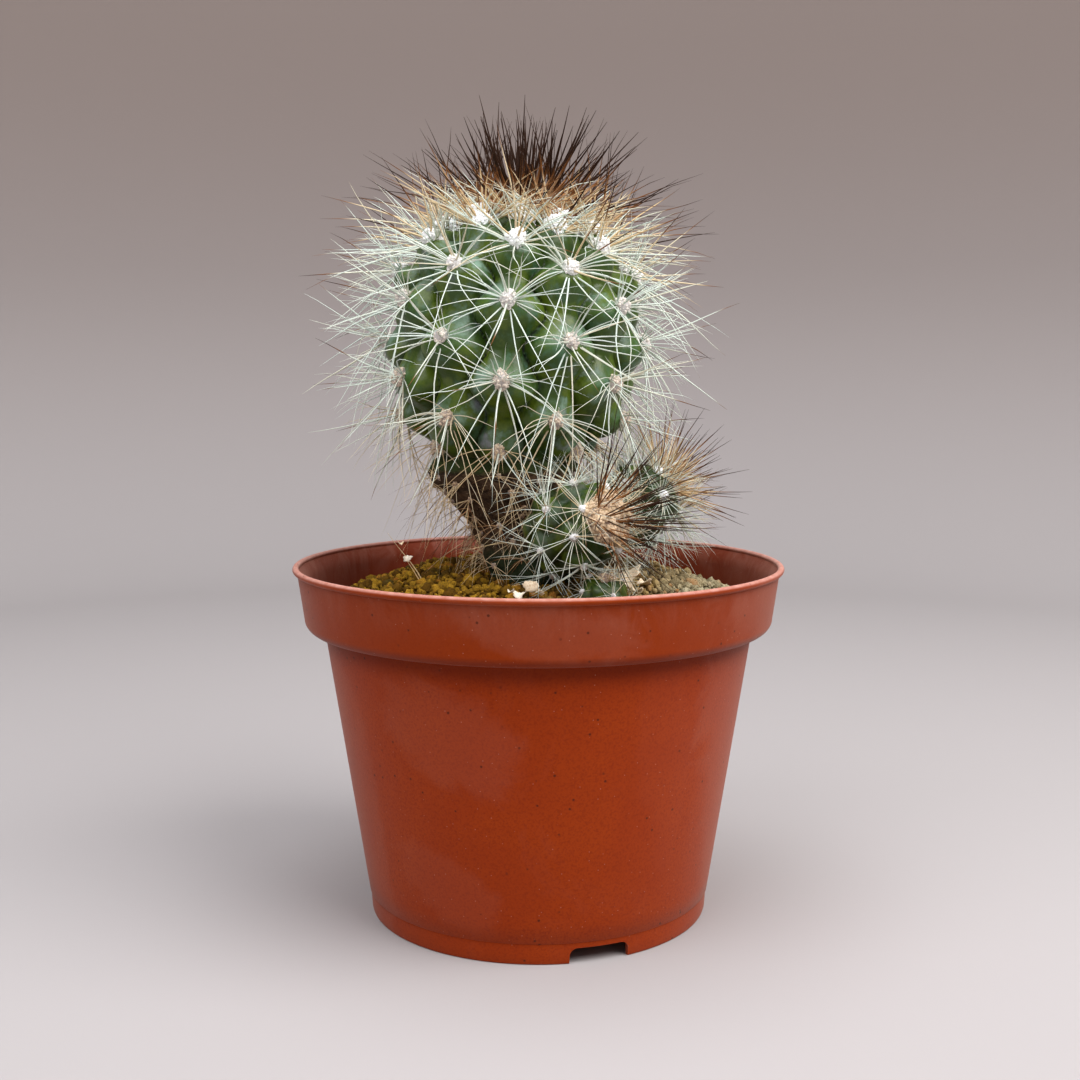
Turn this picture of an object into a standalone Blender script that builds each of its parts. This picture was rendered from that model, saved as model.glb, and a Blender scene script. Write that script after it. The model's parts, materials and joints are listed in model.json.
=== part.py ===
"""A potted copiapoa: a clustering desert cactus in a small plastic nursery pot.

Metres, +Z up. The origin is the centre of the pot's foot, on the surface that it stands on.
The plant's front, with its two large offsets, looks towards -Y.
"""

import math
import random

import bmesh
import bpy
import numpy as np
from mathutils import Matrix, Vector, noise
from mathutils.bvhtree import BVHTree

MM = 0.001
CLEARANCE = 0.3 * MM

# Pot: a thin turned shell with a deep collar, on a foot ring with three drainage notches
RIM_RADIUS = 42.5 * MM
POT_HEIGHT = 61.1 * MM
WALL = 0.95 * MM
BEAD_HEIGHT = 1.0 * MM
COLLAR_TOP_RADIUS = 41.7 * MM
COLLAR_FOOT_RADIUS = 40.6 * MM
COLLAR_FOOT_Z = 51.2 * MM
COLLAR_CURVE = 3.1 * MM
COLLAR_CURVE_STEPS = 3
LEDGE_Z = COLLAR_FOOT_Z - COLLAR_CURVE + WALL
WALL_TOP_RADIUS = 36.8 * MM
WALL_TOP_Z = 47.4 * MM
FOOT_RADIUS = 29.65 * MM
FOOT_STEP_Z = 3.55 * MM
FOOT_STEP = 0.2 * MM
FLOOR_UNDERSIDE = 3.2 * MM
FLOOR_THICKNESS = 1.1 * MM
FLOOR_TOP = FLOOR_UNDERSIDE + FLOOR_THICKNESS
FLOOR_FILLET = 1.2 * MM
POT_SEGMENTS = 40
NOTCH_WIDTH = 10.1 * MM
NOTCH_HEIGHT = 2.65 * MM
NOTCH_ANGLES = [math.radians(a) for a in (-70.5, 49.5, 169.5)]
DRAIN_RADIUS = 3.6 * MM
DRAIN_RING = 17.0 * MM
DRAIN_COUNT = 6
CUTTER_DEPTH = 9.0 * MM

# Soil: gritty crumb, mounded round the stems, a few millimetres below the rim at the wall
SOIL_PEAK = 60.1 * MM
SOIL_DROP = 6.2 * MM
SOIL_DROP_RADIUS = 38.0 * MM
SOIL_BACK_RISE = 0.08
SOIL_LEAST = 52.6 * MM
SOIL_CRUMB = 1.5 * MM
SOIL_CRUMB_PITCH = 2.6 * MM
SOIL_RINGS = 8
SOIL_SEGMENTS = 28
HOLE_HEIGHT = 40.0 * MM
HOLE_SEGMENTS = 22

# Trunk: the corky old stem under the main head, as (x of its centre, z, radius)
TRUNK_SECTIONS = [
    (-4.7 * MM, 73.5 * MM, 12.2 * MM),
    (-2.5 * MM, 68.9 * MM, 10.2 * MM),
    (-0.7 * MM, 64.5 * MM, 9.1 * MM),
    (0.9 * MM, 59.5 * MM, 8.7 * MM),
]
TRUNK_TOP_RADIUS = 13.4 * MM
TRUNK_FOOT_Z = 46.0 * MM
TRUNK_HOLE_RADIUS = 9.5 * MM
TRUNK_SEGMENTS = 22
TRUNK_ROUGHNESS = 1.1 * MM
TRUNK_ROUGHNESS_PITCH = 4.0 * MM
TRUNK_SPINE_ROWS = 4
TRUNK_SPINES_A_ROW = 11
TRUNK_SPINE_LENGTH = 10.5 * MM
TRUNK_SPINE_DROOP = 0.45
TRUNK_SPINE_DEPTH = 1.0 * MM

# Heads: globes of low ribs, cut into tubercles that carry the areoles. An axis points to the
# apex. A row is the step between areoles down a rib: first_row long, plus row_growth more each.
TUBERCLE_WIDTH = 0.60
TUBERCLE_LENGTH = 0.62
TUBERCLE_ROUNDNESS = 0.75
CHIN = 0.12
DOME_POWER = 2.75
BOWL_POWER = 2.2
HEAD_TILT = math.radians(5.0)
MAIN_HEAD = {
    "centre": Vector((-4.2, 0.0, 97.8)) * MM,
    "radius": 22.4 * MM,
    "top": 22.1 * MM,
    "bottom": 21.3 * MM,
    "seat": 20.1 * MM,
    "ribs": 13,
    "rib_shift": 7,
    "first_row": 7.6 * MM,
    "row_growth": 0.75 * MM,
    "groove": 4.5 * MM,
    "phase": math.radians(-3),
    "segments": 52,
    "rings": 19,
}
FRONT_OFFSET = {
    "centre": Vector((5.8, -16.6, 68.4)) * MM,
    "axis": Vector((0.62, -0.72, 0.30)),
    "radius": 8.0 * MM,
    "top": 8.4 * MM,
    "bottom": 8.6 * MM,
    "seat": 8.2 * MM,
    "ribs": 8,
    "rib_shift": 5,
    "first_row": 4.6 * MM,
    "row_growth": 0.8 * MM,
    "groove": 1.5 * MM,
    "phase": math.radians(20),
    "segments": 20,
    "rings": 11,
}
BACK_OFFSET = {
    "centre": Vector((15.7, 3.4, 69.6)) * MM,
    "axis": Vector((0.82, 0.12, 0.56)),
    "radius": 7.5 * MM,
    "top": 8.8 * MM,
    "bottom": 7.4 * MM,
    "seat": 6.7 * MM,
    "ribs": 8,
    "rib_shift": 5,
    "first_row": 4.8 * MM,
    "row_growth": 0.8 * MM,
    "groove": 1.5 * MM,
    "phase": 0.0,
    "segments": 20,
    "rings": 11,
}
SMALL_OFFSET = {
    "centre": Vector((10.4, -20.6, 56.7)) * MM,
    "axis": Vector((0.12, -0.35, 0.93)),
    "radius": 4.4 * MM,
    "top": 4.8 * MM,
    "bottom": 6.5 * MM,
    "seat": 6.2 * MM,
    "ribs": 8,
    "rib_shift": 5,
    "first_row": 3.2 * MM,
    "row_growth": 0.6 * MM,
    "groove": 0.6 * MM,
    "phase": 0.0,
    "segments": 14,
    "rings": 8,
}
SMALL_HOLE_RADIUS = 5.3 * MM
SMALL_HOLE_DEPTH = 8.0 * MM

# Crowns: the woolly pad at an apex and the dark young spines in it, which lean out to the edge
PAD_EDGE = 0.35 * MM
PAD_ROOT = 0.75 * MM
PAD_SPREAD = 0.86
MAIN_CROWN = {
    "radius": 5.6 * MM,
    "height": 1.6 * MM,
    "spines": 84,
    "length": 18.8 * MM,
    "lean": math.radians(56),
    "sweep": Vector((0.0, 0.0, 0.0)),
}
FRONT_CROWN = {
    "radius": 3.0 * MM,
    "height": 1.1 * MM,
    "spines": 34,
    "length": 15.5 * MM,
    "lean": math.radians(80),
    "sweep": Vector((0.45, 0.15, 0.1)),
}
BACK_CROWN = {
    "radius": 2.8 * MM,
    "height": 1.1 * MM,
    "spines": 32,
    "length": 14.5 * MM,
    "lean": math.radians(75),
    "sweep": Vector((0.15, 0.0, 0.1)),
}

# Spines, as three-sided needles, and the distances that they keep
SPINE_RADIUS = 0.27 * MM
SPINE_GAP = 0.34 * MM
NEIGHBOUR_GAP = 2 * SPINE_RADIUS + 0.45 * MM
OWN_BODY_GAP = 0.35 * MM
BODY_GAP = 0.7 * MM
FREE_FROM = 2.6 * MM
CHECKED_SHARES = (0.35, 0.6, 0.85, 1.0)
TRIES = 40
REACH = RIM_RADIUS - 0.4 * MM
YOUNG_RISE = math.radians(62)
YOUNG_STRETCH = 0.22

# An areole's spines, as (turn from straight down the rib, rise off the skin, length)
LARGE_AREOLE = {
    "button": 1.15 * MM,
    "young_row": 2.7,
    "first_row": 0.75,
    "last_share": 0.93,
    "spines": [
        (8, 66, 16.5 * MM),
        (-170, 62, 16.0 * MM),
        (0, 22, 12.5 * MM),
        (58, 28, 12.5 * MM),
        (-58, 28, 12.5 * MM),
        (112, 30, 12.5 * MM),
        (-112, 30, 12.5 * MM),
        (165, 32, 11.5 * MM),
    ],
}
LITTLE_AREOLE = {
    "button": 0.6 * MM,
    "young_row": 1.2,
    "first_row": 0.8,
    "last_share": 0.75,
    "spines": [
        (170, 55, 7.0 * MM),
        (20, 25, 7.5 * MM),
        (-50, 25, 7.0 * MM),
        (95, 28, 6.5 * MM),
        (-120, 28, 6.0 * MM),
    ],
}
TINY_AREOLE = {
    "button": 0.4 * MM,
    "young_row": 1.2,
    "first_row": 0.8,
    "last_share": 0.45,
    "spines": [(turn, 32, 3.6 * MM) for turn in (0, 90, 180, -90)],
}

# Dry petal scraps on the soil
SCRAP_THICKNESS = 0.6 * MM
SCRAP_SIDES = 9
SCRAPS = [
    {
        "centre": Vector((-1.7, -22.0, 59.6)) * MM,
        "turn": math.radians(29),
        "tilt": math.radians(29),
        "size": 2.0 * MM,
        "curl": 0.25,
    },
    {
        "centre": Vector((-3.1, -24.6, 59.0)) * MM,
        "turn": math.radians(-23),
        "tilt": math.radians(11),
        "size": 1.1 * MM,
        "curl": 0.2,
    },
]

SMOOTH_BELOW = math.radians(50)
SEED = 11


def clear_scene():
    for item in list(bpy.data.objects):
        bpy.data.objects.remove(item)


def make_collection(name):
    made = bpy.data.collections.new(name)
    bpy.context.scene.collection.children.link(made)
    return made


def make_material(name, colour, roughness):
    made = bpy.data.materials.new(name)
    made.use_nodes = True
    shader = made.node_tree.nodes["Principled BSDF"]
    shader.inputs["Base Color"].default_value = (*colour, 1.0)
    shader.inputs["Roughness"].default_value = roughness
    shader.inputs["Metallic"].default_value = 0.0
    made.diffuse_color = (*colour, 1.0)
    return made


def object_from(name, bm, collection, material, smooth_angle=None):
    """The bmesh as a new object with one material, shaded smooth below the angle if one is given."""
    mesh = bpy.data.meshes.new(name)
    bm.to_mesh(mesh)
    bm.free()
    mesh.materials.append(material)
    if smooth_angle is not None:
        mesh.shade_smooth()
        mesh.set_sharp_from_angle(angle=smooth_angle)
    made = bpy.data.objects.new(name, mesh)
    collection.objects.link(made)
    return made


def as_cutter(obj):
    obj.hide_render = True
    obj.display_type = "WIRE"
    return obj


def apply_modifiers(obj):
    graph = bpy.context.evaluated_depsgraph_get()
    mesh = bpy.data.meshes.new_from_object(obj.evaluated_get(graph))
    obj.modifiers.clear()
    obj.data = mesh
    return obj


def cut_away(obj, cutter):
    modifier = obj.modifiers.new("cut", "BOOLEAN")
    modifier.operation = "DIFFERENCE"
    modifier.solver = "EXACT"
    modifier.object = cutter


def fuse_collection(obj, collection):
    """Joins every object of the collection to obj in one union, then removes them."""
    modifier = obj.modifiers.new("fuse", "BOOLEAN")
    modifier.operation = "UNION"
    modifier.operand_type = "COLLECTION"
    modifier.collection = collection
    modifier.solver = "MANIFOLD"
    apply_modifiers(obj)
    for item in list(collection.objects):
        bpy.data.objects.remove(item)
    bpy.data.collections.remove(collection)


# Pot


def pot_outer_points():
    """The outside of the wall as (radius, z), from the rim down to the foot."""
    bead = BEAD_HEIGHT / 2
    points = [
        (RIM_RADIUS - bead, POT_HEIGHT),
        (RIM_RADIUS, POT_HEIGHT - bead),
        (COLLAR_TOP_RADIUS, POT_HEIGHT - 2.4 * bead),
    ]
    for step in range(COLLAR_CURVE_STEPS + 1):
        turn = math.pi / 2 * step / COLLAR_CURVE_STEPS
        radius = COLLAR_FOOT_RADIUS - COLLAR_CURVE * (1 - math.cos(turn))
        points.append((radius, COLLAR_FOOT_Z - COLLAR_CURVE * math.sin(turn)))
    points += [
        (WALL_TOP_RADIUS + FOOT_STEP, COLLAR_FOOT_Z - COLLAR_CURVE),
        (WALL_TOP_RADIUS, WALL_TOP_Z),
        (FOOT_RADIUS + 2 * FOOT_STEP, FOOT_STEP_Z + FOOT_STEP),
        (FOOT_RADIUS + FOOT_STEP, FOOT_STEP_Z),
        (FOOT_RADIUS, 3 * FOOT_STEP),
        (FOOT_RADIUS - FOOT_STEP, 0.0),
    ]
    return points


def pot_inner_points():
    """The inside of the wall as (radius, z), from the floor up to the rim."""
    foot = FOOT_RADIUS + 2 * FOOT_STEP - WALL
    return [
        (foot - FLOOR_FILLET, FLOOR_TOP),
        (foot, FLOOR_TOP + FLOOR_FILLET),
        (WALL_TOP_RADIUS - WALL, LEDGE_Z - 0.6 * WALL),
        (WALL_TOP_RADIUS - 0.6 * WALL, LEDGE_Z),
        (COLLAR_FOOT_RADIUS - COLLAR_CURVE, LEDGE_Z),
        (COLLAR_FOOT_RADIUS - WALL, COLLAR_FOOT_Z + 0.4 * WALL),
        (COLLAR_TOP_RADIUS - WALL, POT_HEIGHT - BEAD_HEIGHT),
        (RIM_RADIUS - BEAD_HEIGHT, POT_HEIGHT - 0.25 * BEAD_HEIGHT),
    ]


def turned(name, profile, segments, collection, material):
    """A solid of revolution from a (radius, z) profile that ends on the axis at both ends."""
    mesh = bpy.data.meshes.new(name)
    mesh.from_pydata(
        [(radius, 0.0, z) for radius, z in profile],
        [(i, i + 1) for i in range(len(profile) - 1)],
        [],
    )
    mesh.materials.append(material)
    made = bpy.data.objects.new(name, mesh)
    collection.objects.link(made)
    screw = made.modifiers.new("turn", "SCREW")
    screw.angle = 2 * math.pi
    screw.steps = segments
    screw.render_steps = segments
    screw.use_merge_vertices = True
    screw.merge_threshold = 0.01 * MM
    screw.use_smooth_shade = True
    return made


def notch_cutter(angle, cutters, material):
    bm = bmesh.new()
    bmesh.ops.create_cube(bm, size=1.0)
    size = Matrix.Diagonal((CUTTER_DEPTH, NOTCH_WIDTH, 2 * NOTCH_HEIGHT, 1.0))
    place = Matrix.Rotation(angle, 4, "Z") @ Matrix.Translation((FOOT_RADIUS, 0, 0))
    bm.transform(place @ size)
    return as_cutter(object_from("notch_cutter", bm, cutters, material))


def drain_cutter(angle, cutters, material):
    bm = bmesh.new()
    bmesh.ops.create_cone(
        bm,
        cap_ends=True,
        segments=12,
        radius1=DRAIN_RADIUS,
        radius2=DRAIN_RADIUS,
        depth=CUTTER_DEPTH,
    )
    turn = Matrix.Rotation(angle, 4, "Z")
    bm.transform(turn @ Matrix.Translation((DRAIN_RING, 0, FLOOR_UNDERSIDE)))
    return as_cutter(object_from("drain_cutter", bm, cutters, material))


def build_pot(parts, cutters, material):
    inner_foot = FOOT_RADIUS - WALL
    profile = [(0.0, FLOOR_TOP)] + pot_inner_points() + pot_outer_points()
    profile += [
        (inner_foot, 0.0),
        (inner_foot - 2 * FOOT_STEP, FLOOR_UNDERSIDE),
        (0.0, FLOOR_UNDERSIDE),
    ]
    pot = turned("pot", profile, POT_SEGMENTS, parts, material)
    for angle in NOTCH_ANGLES:
        cut_away(pot, notch_cutter(angle, cutters, material))
    for step in range(DRAIN_COUNT):
        angle = NOTCH_ANGLES[0] + 2 * math.pi * (step + 0.5) / DRAIN_COUNT
        cut_away(pot, drain_cutter(angle, cutters, material))


# Soil


def soil_height(x, y):
    """The soil's surface: a crumbly mound that falls towards the wall, higher at the back."""
    fall = SOIL_DROP * (math.hypot(x, y) / SOIL_DROP_RADIUS) ** 3
    crumb = SOIL_CRUMB * noise.noise(Vector((x, y, 0.0)) / SOIL_CRUMB_PITCH)
    return max(SOIL_PEAK + SOIL_BACK_RISE * y - fall, SOIL_LEAST) + crumb


def build_soil(parts, material):
    """A turned plug that fills the pot, its flat top then raised to the mound."""
    foot = FOOT_RADIUS + 2 * FOOT_STEP - WALL - 2 * CLEARANCE
    wall_top = WALL_TOP_RADIUS - WALL
    edge = COLLAR_FOOT_RADIUS - WALL - CLEARANCE
    floor_z = FLOOR_TOP + CLEARANCE
    profile = [(edge * ring / SOIL_RINGS, SOIL_PEAK) for ring in range(SOIL_RINGS + 1)]
    profile += [
        (COLLAR_FOOT_RADIUS - COLLAR_CURVE - CLEARANCE, LEDGE_Z + CLEARANCE),
        (wall_top, LEDGE_Z + CLEARANCE),
        (wall_top - CLEARANCE, LEDGE_Z - WALL),
        (foot, floor_z + FLOOR_FILLET),
        (foot - FLOOR_FILLET, floor_z),
        (0.0, floor_z),
    ]
    soil = apply_modifiers(turned("soil", profile, SOIL_SEGMENTS, parts, material))
    top = [v for v in soil.data.vertices if v.co.z > SOIL_PEAK - CLEARANCE]
    for vertex in top:
        vertex.co.z = soil_height(vertex.co.x, vertex.co.y)
    return soil


def cut_hole(soil, x, y, radius, floor_z, cutters, material):
    """A plain hole in the soil for a stem to stand in."""
    bm = bmesh.new()
    bmesh.ops.create_cone(
        bm,
        cap_ends=True,
        segments=HOLE_SEGMENTS,
        radius1=radius,
        radius2=radius,
        depth=HOLE_HEIGHT,
    )
    bm.transform(Matrix.Translation((x, y, floor_z + HOLE_HEIGHT / 2)))
    cut_away(soil, as_cutter(object_from("hole_cutter", bm, cutters, material)))


# Heads


class Head:
    """A ribbed globe on its own axis, with the places of its areoles.

    Lengths run along the meridian from the apex down, and angles round the axis.
    """

    def __init__(self, shape, frame):
        self.centre = shape["centre"]
        self.frame = frame
        self.ribs = shape["ribs"]
        self.rib_shift = shape["rib_shift"]
        self.first_row = shape["first_row"]
        self.row_growth = shape["row_growth"]
        self.groove = shape["groove"]
        self.phase = shape["phase"]
        self.trace_meridian(shape)

    def trace_meridian(self, shape):
        """Samples the outline: a flattened dome, a rounder underside and a flat seat."""
        steps = 240
        points = []
        for step in range(steps + 1):
            turn = math.pi * step / steps
            power, height = 2 / DOME_POWER, shape["top"]
            if turn > math.pi / 2:
                power, height = 2 / BOWL_POWER, -shape["bottom"]
            z = abs(math.cos(turn)) ** power * height
            if z < -shape["seat"]:
                break
            points.append((shape["radius"] * math.sin(turn) ** power, z))
        points.append((0.0, points[-1][1]))
        self.outline = np.array(points)
        runs = np.hypot(*np.diff(self.outline, axis=0).T)
        self.lengths = np.concatenate([[0.0], np.cumsum(runs)])
        self.full_length = self.lengths[-1]
        self.seat_edge = self.lengths[-2]

    def outline_at(self, length):
        """(radius, z) on the meridian at this length."""
        radius = np.interp(length, self.lengths, self.outline[:, 0])
        return float(radius), float(np.interp(length, self.lengths, self.outline[:, 1]))

    def slope_at(self, length):
        """The meridian's direction, down towards the seat."""
        near = 0.004 * self.full_length
        before = Vector(self.outline_at(max(length - near, 0.0)))
        after = Vector(self.outline_at(min(length + near, self.full_length)))
        return (after - before).normalized()

    def row_at(self, length):
        first, growth = self.first_row, self.row_growth
        return (math.sqrt(first**2 + 4 * growth * length) - first) / (2 * growth)

    def length_at(self, row):
        return self.first_row * row + self.row_growth * row**2

    def relief(self, angle, length):
        """How far the surface lies below the tubercles' crests, which crowd in a staggered grid."""
        row = self.row_at(max(length, 0.0))
        column = self.ribs * (self.phase - angle) / (2 * math.pi)
        height = 0.0
        for rib in (math.floor(column), math.floor(column) + 1):
            across = (column - rib) / TUBERCLE_WIDTH
            own_row = row - CHIN - self.rib_shift * rib / self.ribs
            along = (own_row - round(own_row)) / TUBERCLE_LENGTH
            height = max(height, 1 - across**2 - along**2)
        apex_fade = min(1.0, max(0.0, (row - 0.7) / 0.8))
        seat_fade = min(1.0, max(0.0, 6 * (1 - length / self.seat_edge)))
        return self.groove * (1 - height**TUBERCLE_ROUNDNESS) * apex_fade * seat_fade

    def point(self, angle, length):
        radius, z = self.outline_at(length)
        slope = self.slope_at(length)
        drop = self.relief(angle, length)
        radius += slope.y * drop
        z -= slope.x * drop
        local = Vector((radius * math.sin(angle), -radius * math.cos(angle), z))
        return self.centre + self.frame @ local

    def axes_at(self, angle, length):
        """(outward, sideways, downward) directions on the smooth outline."""
        slope = self.slope_at(length)
        down = Vector((slope.x * math.sin(angle), -slope.x * math.cos(angle), slope.y))
        side = Vector((math.cos(angle), math.sin(angle), 0.0))
        return self.frame @ down.cross(side), self.frame @ side, self.frame @ down

    def areoles(self, first_row, last_length):
        """(rib angle, distance along the meridian, row) of each areole, down each rib in turn."""
        found = []
        for rib in range(self.ribs):
            angle = self.phase - 2 * math.pi * rib / self.ribs
            row = (self.rib_shift * rib / self.ribs) % 1.0
            while self.length_at(row) < last_length:
                if row >= first_row:
                    found.append((angle, self.length_at(row), row))
                row += 1.0
        return found


def axis_frame(axis):
    return axis.to_track_quat("Z", "Y").to_matrix()


def build_globe(name, head, shape, parts, material):
    """A sphere primitive, drawn out to the head's outline and its relief."""
    bm = bmesh.new()
    bmesh.ops.create_uvsphere(
        bm, u_segments=shape["segments"], v_segments=shape["rings"], radius=1.0
    )
    for vertex in bm.verts:
        turn = math.acos(max(-1.0, min(1.0, vertex.co.z)))
        angle = math.atan2(vertex.co.x, -vertex.co.y) + head.phase
        vertex.co = head.point(angle, head.full_length * turn / math.pi)
    return object_from(name, bm, parts, material, SMOOTH_BELOW)


def between(name, start, end, radii, sides, planter):
    """A few-sided bar from start to end, for the planter's body."""
    bm = bmesh.new()
    run = end - start
    bmesh.ops.create_cone(
        bm,
        cap_ends=True,
        segments=sides,
        radius1=radii[0],
        radius2=radii[1],
        depth=run.length,
    )
    bm.transform(Matrix.Translation((start + end) / 2) @ axis_frame(run).to_4x4())
    return object_from(name, bm, planter.pieces, planter.material)


# Trunk


def trunk_loop(bm, centre, frame, radius, rough):
    """A ring of vertices across the trunk, pushed in and out where its bark is rough."""
    loop = []
    for step in range(TRUNK_SEGMENTS):
        angle = 2 * math.pi * step / TRUNK_SEGMENTS
        out = frame @ Vector((math.cos(angle), math.sin(angle), 0.0))
        place = centre + out * radius
        if rough:
            place += out * TRUNK_ROUGHNESS * noise.noise(place / TRUNK_ROUGHNESS_PITCH)
        loop.append(bm.verts.new(place))
    return loop


def build_trunk(head, parts, material):
    """A loft from the head's tilted seat, through the leaning sections, to the upright root end."""
    seat = head.centre - head.frame @ Vector((0, 0, MAIN_HEAD["seat"] + CLEARANCE))
    upright = Matrix.Identity(3)
    foot_x, foot_z, foot_radius = TRUNK_SECTIONS[-1]
    foot = Vector((foot_x, 0.0, TRUNK_FOOT_Z + CLEARANCE))
    bm = bmesh.new()
    loops = [trunk_loop(bm, seat, head.frame, TRUNK_TOP_RADIUS, False)]
    for x, z, radius in TRUNK_SECTIONS:
        loops.append(trunk_loop(bm, Vector((x, 0.0, z)), upright, radius, z > foot_z))
    loops.append(trunk_loop(bm, foot, upright, foot_radius, False))
    for upper, lower in zip(loops, loops[1:]):
        for step in range(TRUNK_SEGMENTS):
            after = (step + 1) % TRUNK_SEGMENTS
            bm.faces.new((upper[step], lower[step], lower[after], upper[after]))
    bm.faces.new(loops[0])
    bm.faces.new(reversed(loops[-1]))
    bmesh.ops.recalc_face_normals(bm, faces=bm.faces)
    return object_from("trunk", bm, parts, material, SMOOTH_BELOW)


# Spines


class Thicket:
    """Every spine placed so far, and every body that a spine has to stay out of."""

    def __init__(self, bodies):
        self.starts = np.zeros((0, 3))
        self.ends = np.zeros((0, 3))
        self.owners = np.zeros(0, dtype="U60")
        self.trees = {body.name: self.tree_of(body) for body in bodies}

    def tree_of(self, body):
        bm = bmesh.new()
        bm.from_object(body, bpy.context.evaluated_depsgraph_get())
        tree = BVHTree.FromBMesh(bm)
        bm.free()
        return tree

    def gaps_to_spines(self, start, end):
        """The distance from this segment to each spine placed so far."""
        run, runs = np.array(end - start), self.ends - self.starts
        offset = np.array(start) - self.starts
        run_sq, runs_sq = run @ run, np.einsum("ij,ij->i", runs, runs)
        dot, run_offset = runs @ run, offset @ run
        runs_offset = np.einsum("ij,ij->i", runs, offset)
        spread = np.maximum(run_sq * runs_sq - dot * dot, 1e-18)
        along = np.clip((dot * runs_offset - run_offset * runs_sq) / spread, 0, 1)
        along_theirs = np.clip((dot * along + runs_offset) / runs_sq, 0, 1)
        along = np.clip((dot * along_theirs - run_offset) / run_sq, 0, 1)
        apart = offset + along[:, None] * run - along_theirs[:, None] * runs
        return np.linalg.norm(apart, axis=1)

    def meets_spine(self, start, end, owner):
        if not len(self.starts):
            return False
        own = self.owners == owner
        run = end - start
        free = start + run * min(0.9, FREE_FROM / run.length)
        if (self.gaps_to_spines(free, end)[own] < SPINE_GAP).any():
            return True
        return (self.gaps_to_spines(start, end)[~own] < NEIGHBOUR_GAP).any()

    def meets_body(self, start, end, owner):
        """Whether it comes too near a body, away from its own root."""
        run = end - start
        for name, tree in self.trees.items():
            own = name == owner
            skipped = FREE_FROM if own else 0.0
            origin = start + run.normalized() * skipped
            if tree.ray_cast(origin, run, run.length - skipped)[0] is not None:
                return True
            least = OWN_BODY_GAP if own else BODY_GAP
            for share in CHECKED_SHARES:
                if tree.find_nearest(start + run * share, least)[0] is not None:
                    return True
        return False

    def is_clear(self, start, end, owner):
        if max(abs(end.x), abs(end.y)) > REACH or (end - start).length < 1.05 * FREE_FROM:
            return False
        return not (self.meets_spine(start, end, owner) or self.meets_body(start, end, owner))

    def add(self, start, end, owner):
        self.starts = np.vstack([self.starts, np.array(start)])
        self.ends = np.vstack([self.ends, np.array(end)])
        self.owners = np.append(self.owners, owner)


class Planter:
    """Roots spines in one body: draws each within its jitter until it clears its neighbours."""

    def __init__(self, body, thicket, rng, material):
        self.body = body
        self.thicket = thicket
        self.rng = rng
        self.material = material
        self.pieces = make_collection(body.name + "_spines")

    def plant(self, root, direction, length, jitter):
        for attempt in range(TRIES):
            spread = jitter * (0.5 + 1.5 * attempt / TRIES)
            wander = Vector([self.rng.gauss(0.0, spread) for _ in range(3)])
            aim = (direction + wander).normalized()
            shrink = 1 - 0.3 * attempt / TRIES
            end = root + aim * length * self.rng.uniform(0.85, 1.05) * shrink
            if self.thicket.is_clear(root, end, self.body.name):
                self.thicket.add(root, end, self.body.name)
                between("spine", root, end, (SPINE_RADIUS, 0.0), 3, self)
                return

    def fuse(self):
        fuse_collection(self.body, self.pieces)


def plant_areole(planter, head, place, style):
    """A low woolly button, with radial spines spread round it and central spines standing out."""
    angle, length, row = place
    out, side, down = head.axes_at(angle, length)
    tip = head.point(angle, length)
    size = style["button"]
    between(
        "areole", tip - out * size, tip + out * size * 0.6, (1.3 * size, 0.5 * size), 5, planter
    )
    youth = max(0.0, min(1.0, (style["young_row"] - row) / 1.2))
    for turn_degrees, rise_degrees, reach in style["spines"]:
        turn = math.radians(turn_degrees)
        rise = math.radians(rise_degrees)
        rise += (YOUNG_RISE - rise) * 0.6 * youth
        flat = down * math.cos(turn) + side * math.sin(turn)
        aim = flat * math.cos(rise) + out * math.sin(rise)
        root = tip + flat * size * 0.3
        planter.plant(root, aim, reach * (1 + YOUNG_STRETCH * youth), 0.09)


def plant_head(planter, head, style):
    for place in head.areoles(style["first_row"], style["last_share"] * head.seat_edge):
        plant_areole(planter, head, place, style)


def build_crown(name, head, crown, parts, material):
    """The woolly pad at a head's apex: a sphere primitive pressed onto the dome."""
    bm = bmesh.new()
    bmesh.ops.create_uvsphere(bm, u_segments=12, v_segments=6, radius=1.0)
    for vertex in bm.verts:
        upper = vertex.co.z > -0.01
        flat = Vector((vertex.co.x, vertex.co.y, 0.0)) * crown["radius"]
        lift = PAD_EDGE + max(vertex.co.z, 0.0) * crown["height"] if upper else 0.0
        flat.z = head.outline_at(flat.length)[1] + CLEARANCE + lift
        vertex.co = head.centre + head.frame @ flat
    return object_from(name, bm, parts, material, SMOOTH_BELOW)


def plant_crown(planter, head, crown):
    """Dark young spines, set in a sunflower spiral over the woolly pad and leaning outwards."""
    golden = math.pi * (3 - math.sqrt(5))
    for number in range(crown["spines"]):
        share = math.sqrt((number + 0.5) / crown["spines"])
        angle = number * golden
        out = Vector((math.cos(angle), math.sin(angle), 0.0))
        flat = out * crown["radius"] * PAD_SPREAD * share
        flat.z = head.outline_at(flat.length)[1] + PAD_ROOT
        tilt = crown["lean"] * share
        aim = head.frame @ (out * math.sin(tilt) + Vector((0, 0, math.cos(tilt))))
        aim = (aim + crown["sweep"]).normalized()
        root = head.centre + head.frame @ flat
        planter.plant(root, aim, crown["length"] * (1.0 - 0.1 * share), 0.07)


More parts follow.
